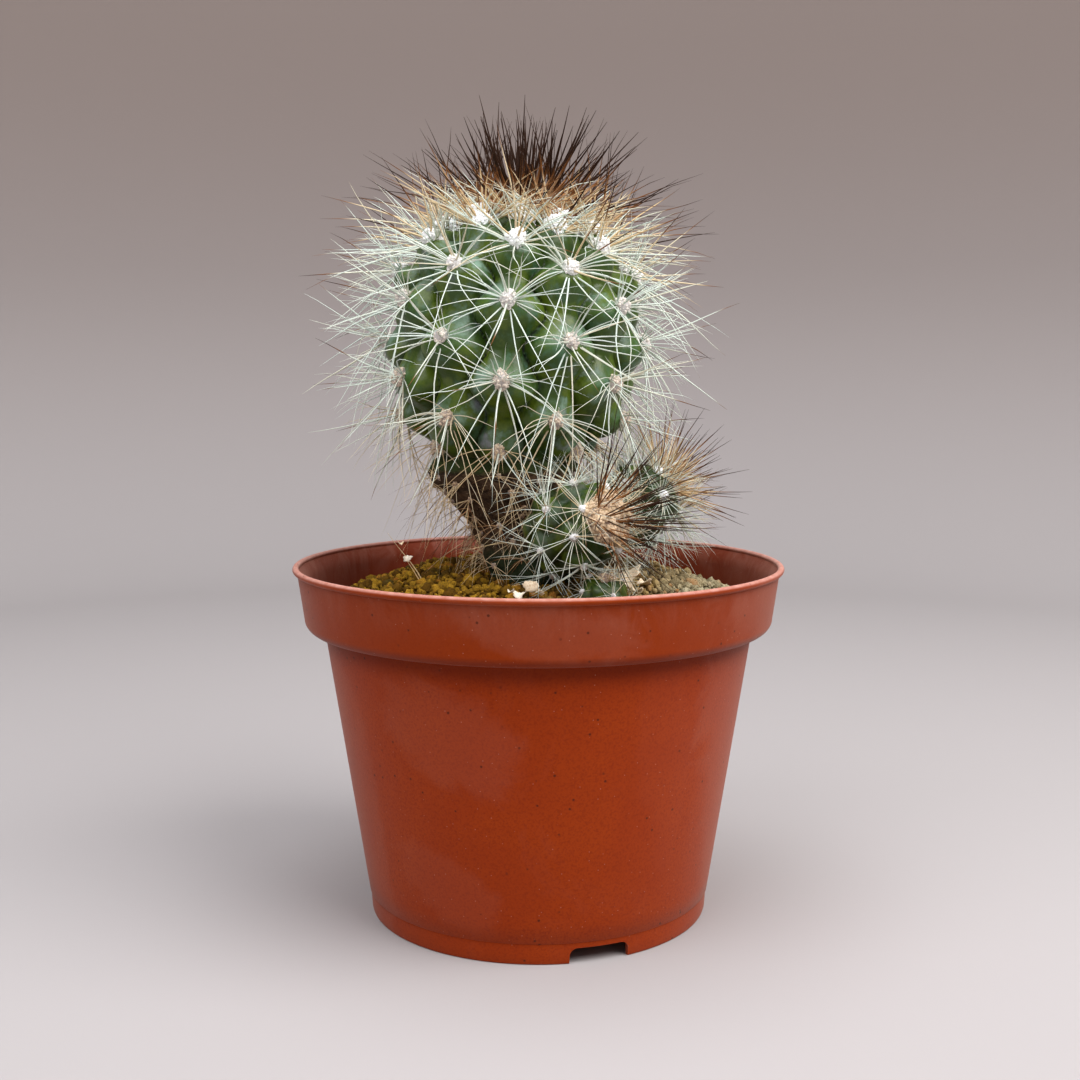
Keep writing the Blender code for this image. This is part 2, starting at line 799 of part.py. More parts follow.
def plant_trunk(planter):
    """Old brown spines, left on the trunk in rows and pointing outwards and down."""
    xs, heights, radii = zip(*reversed(TRUNK_SECTIONS))
    low, high = TRUNK_SECTIONS[2][1], TRUNK_SECTIONS[0][1]
    for row in range(TRUNK_SPINE_ROWS):
        z = high + (low - high) * (row + 0.5) / TRUNK_SPINE_ROWS
        centre = Vector((np.interp(z, heights, xs), 0.0, z))
        radius = np.interp(z, heights, radii) - TRUNK_SPINE_DEPTH
        for step in range(TRUNK_SPINES_A_ROW):
            angle = 2 * math.pi * (step + 0.5 * (row % 2)) / TRUNK_SPINES_A_ROW
            out = Vector((math.cos(angle), math.sin(angle), 0.0))
            aim = out - Vector((0, 0, TRUNK_SPINE_DROOP))
            planter.plant(centre + out * radius, aim, TRUNK_SPINE_LENGTH, 0.25)


# Dry scraps on the soil


def build_scrap(name, scrap, parts, material):
    """A papery flake: a disc primitive, waved at its edge and curled into a shallow cup."""
    size, curl = scrap["size"], scrap["curl"]
    bm = bmesh.new()
    bmesh.ops.create_cone(
        bm,
        cap_ends=True,
        segments=SCRAP_SIDES,
        radius1=size,
        radius2=size,
        depth=SCRAP_THICKNESS,
    )
    for vertex in bm.verts:
        x, y, z = vertex.co
        wave = 0.06 * size * math.sin(5 * math.atan2(y, x))
        vertex.co = Vector((x * 1.15, y * 0.8 + wave, z + curl * x * x / size))
    turn = Matrix.Rotation(scrap["turn"], 4, "Z") @ Matrix.Rotation(scrap["tilt"], 4, "X")
    bm.transform(Matrix.Translation(scrap["centre"]) @ turn)
    object_from(name, bm, parts, material, SMOOTH_BELOW)


def main():
    clear_scene()
    parts = make_collection("potted_copiapoa")
    cutters = make_collection("cutters")
    cutters.hide_render = True

    terracotta = make_material("terracotta plastic", (0.42, 0.115, 0.045), 0.55)
    grit = make_material("mineral grit", (0.32, 0.24, 0.09), 0.95)
    green = make_material("green skin", (0.07, 0.14, 0.055), 0.55)
    cork = make_material("corky bark", (0.10, 0.06, 0.035), 0.9)
    straw = make_material("straw spine", (0.72, 0.62, 0.43), 0.5)
    dark = make_material("dark spine", (0.08, 0.035, 0.02), 0.5)
    wool = make_material("white wool", (0.78, 0.74, 0.66), 0.95)
    tan_wool = make_material("tan wool", (0.50, 0.32, 0.18), 0.95)
    paper = make_material("dry petal", (0.70, 0.55, 0.36), 0.8)

    build_pot(parts, cutters, terracotta)
    soil = build_soil(parts, grit)
    foot_x = TRUNK_SECTIONS[-1][0]
    cut_hole(soil, foot_x, 0.0, TRUNK_HOLE_RADIUS, TRUNK_FOOT_Z, cutters, grit)
    x, y, z = SMALL_OFFSET["centre"]
    cut_hole(soil, x, y, SMALL_HOLE_RADIUS, z - SMALL_HOLE_DEPTH, cutters, grit)

    main_head = Head(MAIN_HEAD, Matrix.Rotation(HEAD_TILT, 3, "Y"))
    front = Head(FRONT_OFFSET, axis_frame(FRONT_OFFSET["axis"]))
    back = Head(BACK_OFFSET, axis_frame(BACK_OFFSET["axis"]))
    small = Head(SMALL_OFFSET, axis_frame(SMALL_OFFSET["axis"]))
    trunk = build_trunk(main_head, parts, cork)
    main_body = build_globe("main_head", main_head, MAIN_HEAD, parts, green)
    front_body = build_globe("front_offset", front, FRONT_OFFSET, parts, green)
    back_body = build_globe("back_offset", back, BACK_OFFSET, parts, green)
    small_body = build_globe("small_offset", small, SMALL_OFFSET, parts, green)
    main_pad = build_crown("main_crown", main_head, MAIN_CROWN, parts, wool)
    front_pad = build_crown("front_crown", front, FRONT_CROWN, parts, tan_wool)
    back_pad = build_crown("back_crown", back, BACK_CROWN, parts, tan_wool)

    globes = [main_body, front_body, back_body, small_body]
    pads = [front_pad, back_pad, main_pad]
    thicket = Thicket([soil, trunk] + globes + pads)
    rng = random.Random(SEED)
    crowns = (FRONT_CROWN, BACK_CROWN, MAIN_CROWN)
    planters = []
    for pad, head, crown in zip(pads, (front, back, main_head), crowns):
        planters.append(Planter(pad, thicket, rng, dark))
        plant_crown(planters[-1], head, crown)
    styles = (LARGE_AREOLE, LITTLE_AREOLE, LITTLE_AREOLE, TINY_AREOLE)
    for body, head, style in zip(globes, (main_head, front, back, small), styles):
        planters.append(Planter(body, thicket, rng, straw))
        plant_head(planters[-1], head, style)
    planters.append(Planter(trunk, thicket, rng, straw))
    plant_trunk(planters[-1])
    for planter in planters:
        planter.fuse()

    for number, scrap in enumerate(SCRAPS, 1):
        build_scrap(f"petal_scrap_{number}", scrap, parts, paper)


main()
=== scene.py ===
"""The potted copiapoa's look: skin, wool, spines, bark, grit and plastic round the solids."""

import json
import math
import random

import bmesh
import bpy
import numpy as np
from mathutils import Matrix, Vector, noise
from mathutils.bvhtree import BVHTree

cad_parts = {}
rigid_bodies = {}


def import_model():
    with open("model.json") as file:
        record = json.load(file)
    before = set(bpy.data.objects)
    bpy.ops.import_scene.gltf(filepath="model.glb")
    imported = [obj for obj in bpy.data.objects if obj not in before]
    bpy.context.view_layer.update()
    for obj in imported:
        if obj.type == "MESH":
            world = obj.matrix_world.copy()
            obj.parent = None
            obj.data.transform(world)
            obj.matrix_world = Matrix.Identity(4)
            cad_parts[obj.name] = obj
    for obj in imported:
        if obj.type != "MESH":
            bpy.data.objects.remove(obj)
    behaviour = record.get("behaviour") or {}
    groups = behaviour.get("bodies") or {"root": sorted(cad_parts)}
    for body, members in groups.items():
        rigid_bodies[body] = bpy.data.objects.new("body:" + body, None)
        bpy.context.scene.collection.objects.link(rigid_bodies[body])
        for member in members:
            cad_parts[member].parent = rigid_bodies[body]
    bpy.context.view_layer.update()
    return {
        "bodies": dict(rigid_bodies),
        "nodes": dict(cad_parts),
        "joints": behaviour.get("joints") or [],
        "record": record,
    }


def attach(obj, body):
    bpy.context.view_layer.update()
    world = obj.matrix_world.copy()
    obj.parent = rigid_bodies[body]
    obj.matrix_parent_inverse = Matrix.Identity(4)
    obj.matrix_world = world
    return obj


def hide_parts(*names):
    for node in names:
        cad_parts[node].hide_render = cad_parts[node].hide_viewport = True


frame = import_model()

MM = 0.001
BODY = "root"

# Pot
RIM_RADIUS = 42.5 * MM
POT_HEIGHT = 61.1 * MM
WALL = 0.95 * MM
BEAD_RADIUS = 0.55 * MM
COLLAR_TOP_RADIUS = 41.65 * MM
COLLAR_FOOT_RADIUS = 40.6 * MM
COLLAR_FOOT_Z = 52.1 * MM
COLLAR_CURVE = 2.0 * MM
COLLAR_CENTRE = (COLLAR_FOOT_RADIUS - COLLAR_CURVE, COLLAR_FOOT_Z)
LEDGE_Z = COLLAR_FOOT_Z - COLLAR_CURVE
WALL_TOP_RADIUS = 37.1 * MM
WALL_TOP_Z = 49.4 * MM
FOOT_RADIUS = 29.65 * MM
FOOT_STEP_Z = 3.55 * MM
FOOT_STEP = 0.2 * MM
WALL_FOOT_RADIUS = FOOT_RADIUS + 2 * FOOT_STEP
FLOOR_UNDERSIDE = 3.2 * MM
FLOOR_TOP = 4.3 * MM
FLOOR_FILLET = 1.2 * MM
POT_SEGMENTS = 128
NOTCH_WIDTH = 10.1 * MM
NOTCH_HEIGHT = 2.65 * MM
NOTCH_ANGLES = [math.radians(a) for a in (-70.5, 49.5, 169.5)]
DRAIN_RADIUS = 3.6 * MM
DRAIN_RING = 17.0 * MM
DRAIN_COUNT = 6

# Soil
SOIL_PEAK = 59.7 * MM
SOIL_DROP = 6.8 * MM
SOIL_DROP_RADIUS = 38.0 * MM
SOIL_BACK_RISE = 0.04
SOIL_LEAST = 52.6 * MM
SOIL_CRUMB = 1.5 * MM
SOIL_CRUMB_PITCH = 2.6 * MM
SOIL_RADIUS = 38.6 * MM
GRAIN_HOLE = 2.0 * MM
GRAIN_CROWDING = 4e6
LUMP_PITCH = 0.75 * MM

# Trunk, as (x of its centre, z, radius) in millimetres, top down
TRUNK_SECTIONS = [
    tuple(value * MM for value in section)
    for section in (
        (-5.6, 80.8, 7.0),
        (-5.8, 80.0, 10.4),
        (-5.9, 78.9, 12.3),
        (-5.9, 77.4, 13.2),
        (-5.6, 75.8, 13.0),
        (-4.7, 73.5, 12.2),
        (-2.5, 68.9, 10.2),
        (-0.7, 64.5, 9.1),
        (0.9, 59.5, 8.7),
        (0.9, 53.0, 8.7),
    )
]
FOOT_FLARE = 5.3 * MM
FOOT_FLARE_TURN = math.radians(-99)
FOOT_FLARE_SPREAD = math.radians(49)
FOOT_FLARE_TOP = 68.0 * MM
FOOT_FLARE_FADE = 8.0 * MM

# Heads: how the ribs fall away, and how their tubercles are cut, skewed and swollen
GOLDEN_ANGLE = math.pi * (3 - math.sqrt(5))
RIB_FALL = 0.42
RIB_FLATNESS = 2.6
NOTCH = 0.72
SKEW = -0.35
TUBERCLE_ROUNDNESS = 0.75
HUMP_ROUNDNESS = 0.75
HUMP_NARROWING = 0.25
HUMP_UNEVENNESS = 0.18
SEAM_WIDTH = 0.10
SWELL = 0.016
SWELL_PITCH = 5.2 * MM
CHIN = 0.12
DOME_POWER = 2.75
BOWL_POWER = 2.2
OUTLINE_STEPS = 480
APEX_STEPS = 200
HEAD_TILT = math.radians(5.0)
MAIN_HEAD = {
    "centre": Vector((-4.2, 0.0, 97.8)) * MM,
    "radius": 22.4 * MM,
    "top": 22.1 * MM,
    "bottom": 21.3 * MM,
    "seat": 20.1 * MM,
    "ribs": 13,
    "rib_shift": 7,
    "first_row": 7.6 * MM,
    "row_growth": 0.75 * MM,
    "groove": 4.5 * MM,
    "crease": 0.95 * MM,
    "phase": math.radians(-3),
    "around": 312,
    "along": 180,
}
YOUNG_HEAD = {
    "ribs": 8,
    "rib_shift": 5,
    "row_growth": 0.8 * MM,
    "groove": 1.9 * MM,
    "crease": 0.3 * MM,
    "phase": 0.0,
    "around": 120,
    "along": 72,
}
FRONT_OFFSET = {
    **YOUNG_HEAD,
    "centre": Vector((5.8, -16.6, 68.4)) * MM,
    "axis": Vector((0.62, -0.72, 0.30)),
    "radius": 8.0 * MM,
    "top": 8.4 * MM,
    "bottom": 8.6 * MM,
    "seat": 8.2 * MM,
    "first_row": 4.6 * MM,
    "phase": math.radians(20),
}
BACK_OFFSET = {
    **YOUNG_HEAD,
    "centre": Vector((15.7, 3.4, 69.6)) * MM,
    "axis": Vector((0.82, 0.12, 0.56)),
    "radius": 7.5 * MM,
    "top": 8.8 * MM,
    "bottom": 7.4 * MM,
    "seat": 6.7 * MM,
    "first_row": 4.8 * MM,
}
SMALL_OFFSET = {
    **YOUNG_HEAD,
    "centre": Vector((10.4, -20.6, 56.7)) * MM,
    "axis": Vector((0.12, -0.35, 0.93)),
    "radius": 4.4 * MM,
    "top": 4.8 * MM,
    "bottom": 6.5 * MM,
    "seat": 6.2 * MM,
    "first_row": 3.2 * MM,
    "row_growth": 0.6 * MM,
    "groove": 1.1 * MM,
    "crease": 0.2 * MM,
    "around": 112,
    "along": 64,
}

# Stage: radii and heights of the floor's flat part, its curve and its wall
FLOOR_RADII = (0.14, 0.38)
FLOOR_CURVE = 0.15
STAGE_WALL = (0.54, 0.75)

# Ranges of random numbers: turns about each axis, and sizes for what isn't quite round
ANY_TURN = (0.0, 2 * math.pi)
ALMOST_ROUND = (0.7, 1.2)

# Lights, as (name, place, width, power, colour), all aimed at one point
LIGHT_AIM = (0.0, 0.0, 0.075)
LIGHTS = (
    ("key", (0.35, -0.24, 0.46), 0.55, 6.1, (1.0, 0.985, 0.97)),
    ("top", (-0.03, -0.03, 0.68), 0.60, 3.5, (0.96, 0.98, 1.0)),
    ("fill", (-0.28, -0.33, 0.46), 0.50, 2.4, (0.95, 0.97, 1.0)),
)
ROOM_COLOUR = (0.93, 0.95, 1.0)
ROOM_LIGHT = 0.18

# Camera
CAMERA_PLACE = (0.00028, -0.244845, 0.093321)
CAMERA_DIP = 0.11592
CAMERA_LENS = 46.97
CAMERA_SENSOR = 36.0


# Shared steps


def linked(name, data):
    """A new object round the data, in the scene."""
    made = bpy.data.objects.new(name, data)
    bpy.context.scene.collection.objects.link(made)
    return made


def plain_mesh(name, points, faces, attributes=None):
    """A smooth mesh object from points and faces, with float or vector attributes on its points."""
    mesh = bpy.data.meshes.new(name)
    mesh.from_pydata([tuple(p) for p in points], [], faces)
    mesh.validate()
    for label, values in (attributes or {}).items():
        values = np.asarray(values, dtype=np.float32)
        kind = "FLOAT" if values.ndim == 1 else "FLOAT_VECTOR"
        field = "value" if values.ndim == 1 else "vector"
        layer = mesh.attributes.new(label, kind, "POINT")
        layer.data.foreach_set(field, values.ravel())
    if len(faces):
        mesh.shade_smooth()
    return linked(name, mesh)


def circle(radius, around):
    """(x, y) of points round a circle."""
    angles = [2 * math.pi * step / around for step in range(around)]
    return [(radius * math.cos(angle), radius * math.sin(angle)) for angle in angles]


def ring_faces(rings, around, first=0):
    """Quads from each ring of points to the next. The first ring starts at the point first."""
    faces = []
    for ring in range(rings):
        here, there = first + ring * around, first + (ring + 1) * around
        for step in range(around):
            after = (step + 1) % around
            faces.append((here + step, there + step, there + after, here + after))
    return faces


def fan(centre, first, around, flip=False):
    """Triangles from a centre point to the ring that starts at the point first."""
    faces = []
    for step in range(around):
        here, after = first + step, first + (step + 1) % around
        faces.append((centre, after, here) if flip else (centre, here, after))
    return faces


def baked(obj):
    """Turns the object's live modifiers into its plain mesh."""
    graph = bpy.context.evaluated_depsgraph_get()
    mesh = bpy.data.meshes.new_from_object(obj.evaluated_get(graph))
    obj.modifiers.clear()
    obj.data = mesh
    return obj


def finished(piece, slot, *nodes):
    """Hands a finished piece to the frame: it rides on the one body and may stand for solids."""
    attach(piece, BODY)
    if nodes:
        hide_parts(*nodes)
    return piece


class Graph:
    """Nodes of one tree, each made and wired in one call."""

    def __init__(self, tree):
        self.nodes = tree.nodes
        self.links = tree.links

    def add(self, kind, inputs=None, **settings):
        """A node with its settings, and each input linked or set. Returns the node's outputs."""
        made = self.nodes.new(kind)
        for label, value in settings.items():
            setattr(made, label, value)
        for label, value in (inputs or {}).items():
            if isinstance(value, bpy.types.NodeSocket):
                self.links.new(value, made.inputs[label])
            else:
                made.inputs[label].default_value = value
        return made.outputs

    def math(self, operation, *values, clamp=False):
        """A sum or the like of numbers and outputs."""
        inputs = dict(enumerate(values))
        return self.add("ShaderNodeMath", inputs, operation=operation, use_clamp=clamp)[0]


class Tree(Graph):
    """A Geometry Nodes tree with named inputs, built node by node."""

    def __init__(self, name, inputs):
        self.tree = bpy.data.node_groups.new(name, "GeometryNodeTree")
        super().__init__(self.tree)
        face = self.tree.interface
        face.new_socket("Geometry", in_out="INPUT", socket_type="NodeSocketGeometry")
        self.ids = {}
        kinds = {float: "NodeSocketFloat", int: "NodeSocketInt", None: "NodeSocketMaterial"}
        for label, kind in {**inputs, "Material": None}.items():
            made = face.new_socket(label, in_out="INPUT", socket_type=kinds[kind])
            self.ids[label] = made.identifier
        face.new_socket("Geometry", in_out="OUTPUT", socket_type="NodeSocketGeometry")
        self.given = self.nodes.new("NodeGroupInput").outputs

    def read(self, label, kind="FLOAT"):
        """A value kept on the mesh."""
        return self.add("GeometryNodeInputNamedAttribute", {"Name": label}, data_type=kind)[0]

    def store(self, geometry, label, value, domain="POINT"):
        """The geometry, with a number kept on it."""
        inputs = {"Geometry": geometry, "Name": label, "Value": value}
        settings = {"data_type": "FLOAT", "domain": domain}
        return self.add("GeometryNodeStoreNamedAttribute", inputs, **settings)[0]

    def scaled(self, vector, factor):
        """A vector times a number."""
        inputs = {0: vector, "Scale": factor}
        return self.add("ShaderNodeVectorMath", inputs, operation="SCALE")[0]

    def random(self, low, high, seed):
        """A random number for each element, between the two."""
        inputs = {2: low, 3: high, "Seed": seed}
        return self.add("FunctionNodeRandomValue", inputs, data_type="FLOAT")[1]

    def random_vector(self, low, high, seed):
        """Three random numbers for each element, between the two."""
        inputs = {0: (low,) * 3, 1: (high,) * 3, "Seed": seed}
        return self.add("FunctionNodeRandomValue", inputs, data_type="FLOAT_VECTOR")[0]

    def instances(self, points, instance, turn, size):
        """The instance on every point, turned and sized."""
        inputs = {"Points": points, "Instance": instance, "Rotation": turn, "Scale": size}
        return self.add("GeometryNodeInstanceOnPoints", inputs)[0]

    def realized(self, geometry):
        """The geometry with its instances made real."""
        return self.add("GeometryNodeRealizeInstances", {"Geometry": geometry})[0]

    def moved(self, geometry, offset):
        """The geometry with each point moved by the offset."""
        return self.add("GeometryNodeSetPosition", {"Geometry": geometry, "Offset": offset})[0]

    def join(self, *parts):
        """The parts as one geometry."""
        made = self.nodes.new("GeometryNodeJoinGeometry")
        for part in reversed(parts):
            self.links.new(part, made.inputs["Geometry"])
        return made.outputs[0]

    def close(self, real):
        """Sets the material and the smooth shading of real geometry, and closes the tree."""
        smooth = self.add("GeometryNodeSetShadeSmooth", {"Geometry": real, "Shade Smooth": True})
        dressed = {"Geometry": smooth[0], "Material": self.given["Material"]}
        dressed = self.add("GeometryNodeSetMaterial", dressed)
        self.links.new(dressed[0], self.nodes.new("NodeGroupOutput").inputs["Geometry"])

    def grow(self, obj, values):
        """Runs the tree on the object and keeps the result as its plain mesh."""
        modifier = obj.modifiers.new("grow", "NODES")
        modifier.node_group = self.tree
        for label, value in values.items():
            modifier[self.ids[label]] = value
        baked(obj)
        obj.data.name = obj.name
        return obj


class Finish(Graph):
    """A procedural material, built node by node round one Principled shader."""

    def __init__(self, name, roughness, **constants):
        self.material = bpy.data.materials.new(name)
        self.material.use_nodes = True
        super().__init__(self.material.node_tree)
        self.shader = self.nodes["Principled BSDF"]
        self.shader.inputs["Roughness"].default_value = roughness
        for label, value in constants.items():
            self.shader.inputs[label.replace("_", " ")].default_value = value
        self.place = self.add("ShaderNodeTexCoord")["Object"]

    def set(self, label, value):
        """Drives one of the shader's inputs."""
        self.links.new(value, self.shader.inputs[label])

    def read(self, label):
        """A number kept on the mesh."""
        return self.add("ShaderNodeAttribute", attribute_name=label)["Fac"]

    def axes(self):
        """The x, y and z of the place, in metres."""
        return self.add("ShaderNodeSeparateXYZ", {"Vector": self.place})

    def step(self, value, low, high):
        """A smooth 0 to 1 as the value goes from low to high."""
        inputs = {"Value": value, "From Min": low, "From Max": high}
        return self.add("ShaderNodeMapRange", inputs, interpolation_type="SMOOTHSTEP")[0]

    def noise(self, pitch, detail=3.0, rough=0.55, stretch=None, warp=0.0):
        """Noise with features of about this size in metres."""
        vector = self.place
        if stretch:
            vector = self.add("ShaderNodeMapping", {"Vector": vector, "Scale": stretch})[0]
        inputs = {"Vector": vector, "Scale": 1 / pitch, "Detail": detail, "Roughness": rough}
        inputs["Distortion"] = warp
        return self.add("ShaderNodeTexNoise", inputs)["Fac"]

    def cells(self, pitch):
        """The distance from scattered points about this far apart, in shares of the pitch."""
        inputs = {"Vector": self.place, "Scale": 1 / pitch}
        return self.add("ShaderNodeTexVoronoi", inputs, feature="F1")["Distance"]

    def mix(self, share, first, second):
        """The first colour, turning into the second as share goes from 0 to 1."""
        inputs = {0: share}
        for index, value in ((6, first), (7, second)):
            linked_in = isinstance(value, bpy.types.NodeSocket)
            inputs[index] = value if linked_in else (*value, 1.0)
        return self.add("ShaderNodeMix", inputs, data_type="RGBA")[2]

    def tinted(self, colour, tone, share, strength):
        """The colour, turned to the tone by a share of this strength."""
        return self.mix(self.math("MULTIPLY", share, strength), colour, tone)

    def bump(self, height, depth, strength=1.0, under=None):
        """A normal that follows the height, on top of another bump if there is one."""
        inputs = {"Height": height, "Distance": depth, "Strength": strength}
        if under is not None:
            inputs["Normal"] = under
        return self.add("ShaderNodeBump", inputs)["Normal"]


# Finishes


TERRACOTTA = (0.412, 0.048, 0.0001)
TERRACOTTA_WARM = (0.452, 0.058, 0.0005)
TERRACOTTA_GRAIN = (0.312, 0.031, 0.0002)
COLLAR_RED = (0.196, 0.0230, 0.0003)
LEDGE_SHADE = (0.092, 0.007, 0.0002)
# Painted shade inside the pot. The same red is the body's own colour on the outer wall below the
# ledge.
INSIDE_SHADE_AND_BODY_RED = (0.125, 0.012, 0.0031)
# The colour of the haze, which also paints the sheen at the pot's sides
HAZE_AND_EDGE_SHEEN = (0.520, 0.310, 0.250)
# Wear and a painted highlight along the top of the rim's bead
WORN_RIM_AND_HIGHLIGHT = (0.530, 0.281, 0.234)
DARK_SPECK = (0.039, 0.0094, 0.0047)
PALE_DUST = (0.585, 0.406, 0.328)
SHEEN_TINT = (1.0, 0.80, 0.70)

# Smudges of haze, and two broad bands of painted sheen at the pot's right and left edges: turn from
# the front, height in mm, half width in radians, half height in mm, strength
SMUDGES_AND_EDGE_SHEEN = (
    (-0.42, 38.0, 0.34, 9.0, 0.046),
    (0.04, 55.8, 0.34, 4.4, 0.058),
    (-0.50, 12.0, 0.28, 6.0, 0.034),
    (0.62, 34.0, 0.16, 16.0, 0.012),
    # The next two are painted sheen along the pot's right and left edges, not haze
    (1.34, 30.0, 0.50, 36.0, 0.070),
    (-1.30, 34.0, 0.36, 34.0, 0.055),
    (2.4, 38.0, 0.45, 11.0, 0.030),
    (-2.1, 27.0, 0.35, 14.0, 0.028),
)
SMUDGE_AND_SHEEN_STRENGTH = 0.85
SMUDGE_AND_SHEEN_SLANT = 0.55

# The cone that the collar's outside follows: its slope, and where its tint starts and is full
COLLAR_SLOPE = 0.142
COLLAR_CONE = (33.4 * MM, 32.9 * MM)


def plastic_red(made, z, grain):
    """Mottled terracotta, deeper on the collar and in the shade under its ledge."""
    cloud = made.noise(16 * MM, 4.0, 0.6, warp=0.6)
    tone = made.mix(made.step(cloud, 0.35, 0.7), TERRACOTTA, TERRACOTTA_WARM)
    tone = made.mix(made.step(grain, 0.40, 0.75), tone, TERRACOTTA_GRAIN)
    collar = made.step(z, LEDGE_Z + 0.05 * MM, LEDGE_Z + 0.8 * MM)
    tone = made.tinted(tone, COLLAR_RED, collar, 0.78)
    under = made.step(z, LEDGE_Z + 0.9 * MM, LEDGE_Z + 0.2 * MM)
    shade = made.math("MULTIPLY", made.step(z, LEDGE_Z - 4.9 * MM, LEDGE_Z - 0.9 * MM), under)
    return made.tinted(tone, LEDGE_SHADE, shade, 0.46)


def within_collar(made, x, y, z):
    """1 within the cone of the collar: inside the pot and below the ledge. Less on the collar."""
    ring = made.math("ADD", made.math("POWER", x, 2.0), made.math("POWER", y, 2.0))
    cone = made.math("SUBTRACT", made.math("SQRT", ring), made.math("MULTIPLY", z, COLLAR_SLOPE))
    return made.step(cone, *COLLAR_CONE)


def smudge_haze_and_edge_sheen(made, turn, z):
    """A faint haze, with broad slanting smudges whose edges wander. The two broad ones at the pot's
    right and left edges are painted sheen.
    """
    haze_and_sheen = made.step(made.noise(11 * MM, 5.0, 0.7, (1, 1, 0.6), 1.2), 0.53, 0.72)
    haze_and_sheen = made.math("MULTIPLY", haze_and_sheen, 0.012)
    wander = made.math("MULTIPLY_ADD", made.noise(9 * MM, 5.0, 0.6, warp=0.8), 3.0, -1.5)
    for where, height, width, tall, strength in SMUDGES_AND_EDGE_SHEEN:
        across = made.math("DIVIDE", made.math("SUBTRACT", turn, where), width)
        up = made.math("DIVIDE", made.math("SUBTRACT", z, height * MM), tall * MM)
        slant = made.math("ADD", up, made.math("MULTIPLY", across, SMUDGE_AND_SHEEN_SLANT))
        size = made.math("ADD", made.math("POWER", across, 2.0), made.math("POWER", slant, 2.0))
        edge = made.step(made.math("ADD", size, wander), 1.45, 0.55)
        edge = made.math("MULTIPLY", edge, SMUDGE_AND_SHEEN_STRENGTH * strength)
        haze_and_sheen = made.math("MAXIMUM", haze_and_sheen, edge)
    return haze_and_sheen


def lime_streaks(made, within, z):
    """Lime left by hard water inside the pot, stronger near the rim."""
    lime = made.math("MULTIPLY", within, made.step(z, 52 * MM, 60.6 * MM))
    streaks = made.step(made.noise(5 * MM, 5.0, 0.7, (1, 1, 0.45), 0.8), 0.36, 0.66)
    return made.math("MULTIPLY", lime, made.math("MULTIPLY_ADD", streaks, 0.16, 0.03))


def pot_plastic():
    """Moulded terracotta plastic: satin, finely pebbled, with mineral haze, scuffs and specks. It
    also has painted sheen at its sides, a painted highlight on the rim, and painted shade inside and
    under the ledge.
    """
    made = Finish("terracotta plastic", 0.42, Specular_IOR_Level=0.05, Sheen_Weight=0.10)
    made.shader.inputs["Sheen Tint"].default_value = (*SHEEN_TINT, 1.0)
    x, y, z = made.axes()
    turn = made.math("ARCTAN2", x, made.math("MULTIPLY", y, -1.0))
    grain = made.noise(0.35 * MM, 2.0)
    within = within_collar(made, x, y, z)
    # A deeper red within the collar's cone: painted shade inside the pot, and the body's own colour
    # on the wall below the ledge
    colour = made.tinted(plastic_red(made, z, grain), INSIDE_SHADE_AND_BODY_RED, within, 0.52)
    haze_and_sheen = made.math("ADD", smudge_haze_and_edge_sheen(made, turn, z), lime_streaks(made, within, z), clamp=True)
    # Haze, lime and the painted sheen at the pot's sides, all turned to one pale colour
    colour = made.mix(haze_and_sheen, colour, HAZE_AND_EDGE_SHEEN)
    # A pale band along the top of the bead: partly wear, partly a painted highlight
    worn_and_lit = made.math("MULTIPLY_ADD", made.noise(1.4 * MM, 3.0), 0.9, 0.15)
    worn_and_lit = made.math("MULTIPLY", made.step(z, 60.55 * MM, 60.95 * MM), worn_and_lit)
    colour = made.mix(worn_and_lit, colour, WORN_RIM_AND_HIGHLIGHT)
    specks = made.step(made.cells(2.3 * MM), 0.13, 0.06)
    specks = made.math("MULTIPLY", specks, made.step(made.noise(9 * MM), 0.46, 0.56))
    colour = made.tinted(colour, DARK_SPECK, specks, 0.75)
    colour = made.tinted(colour, PALE_DUST, made.step(made.cells(1.25 * MM), 0.085, 0.04), 0.26)
    made.set("Base Color", colour)
    rough = made.math("MULTIPLY_ADD", grain, 0.12, 0.36)
    made.set("Roughness", made.math("ADD", rough, made.math("MULTIPLY", haze_and_sheen, 0.6), clamp=True))
    soft = made.bump(made.noise(6 * MM, 2.0), 0.12 * MM, 0.35)
    made.set("Normal", made.bump(grain, 0.05 * MM, 0.3, soft))
    return made.material


OLD_GREENS = {
    "bloom": (0.235, 0.362, 0.285),
    "mauve": (0.265, 0.280, 0.330),
    "bluish": (0.062, 0.152, 0.098),
    "middle": (0.060, 0.134, 0.022),
    "deep": (0.025, 0.054, 0.003),
}
# The offsets' greens: their own younger green with less bloom, and darker still as painted shade
# where they sit under the main head
YOUNG_GREENS_WITH_SHADE = {
    "bloom": (0.080, 0.120, 0.074),
    "mauve": (0.100, 0.108, 0.082),
    "bluish": (0.026, 0.054, 0.030),
    "middle": (0.036, 0.080, 0.015),
    "deep": (0.015, 0.033, 0.003),
}
OLIVE = (0.100, 0.148, 0.009)
BLUSH = (0.211, 0.125, 0.047)
CREASE_SHADE = (0.0080, 0.0180, 0.0150)
CORK_DARK = (0.035, 0.020, 0.011)
CORK_PALE = (0.148, 0.101, 0.062)
SCAB = (0.234, 0.203, 0.148)


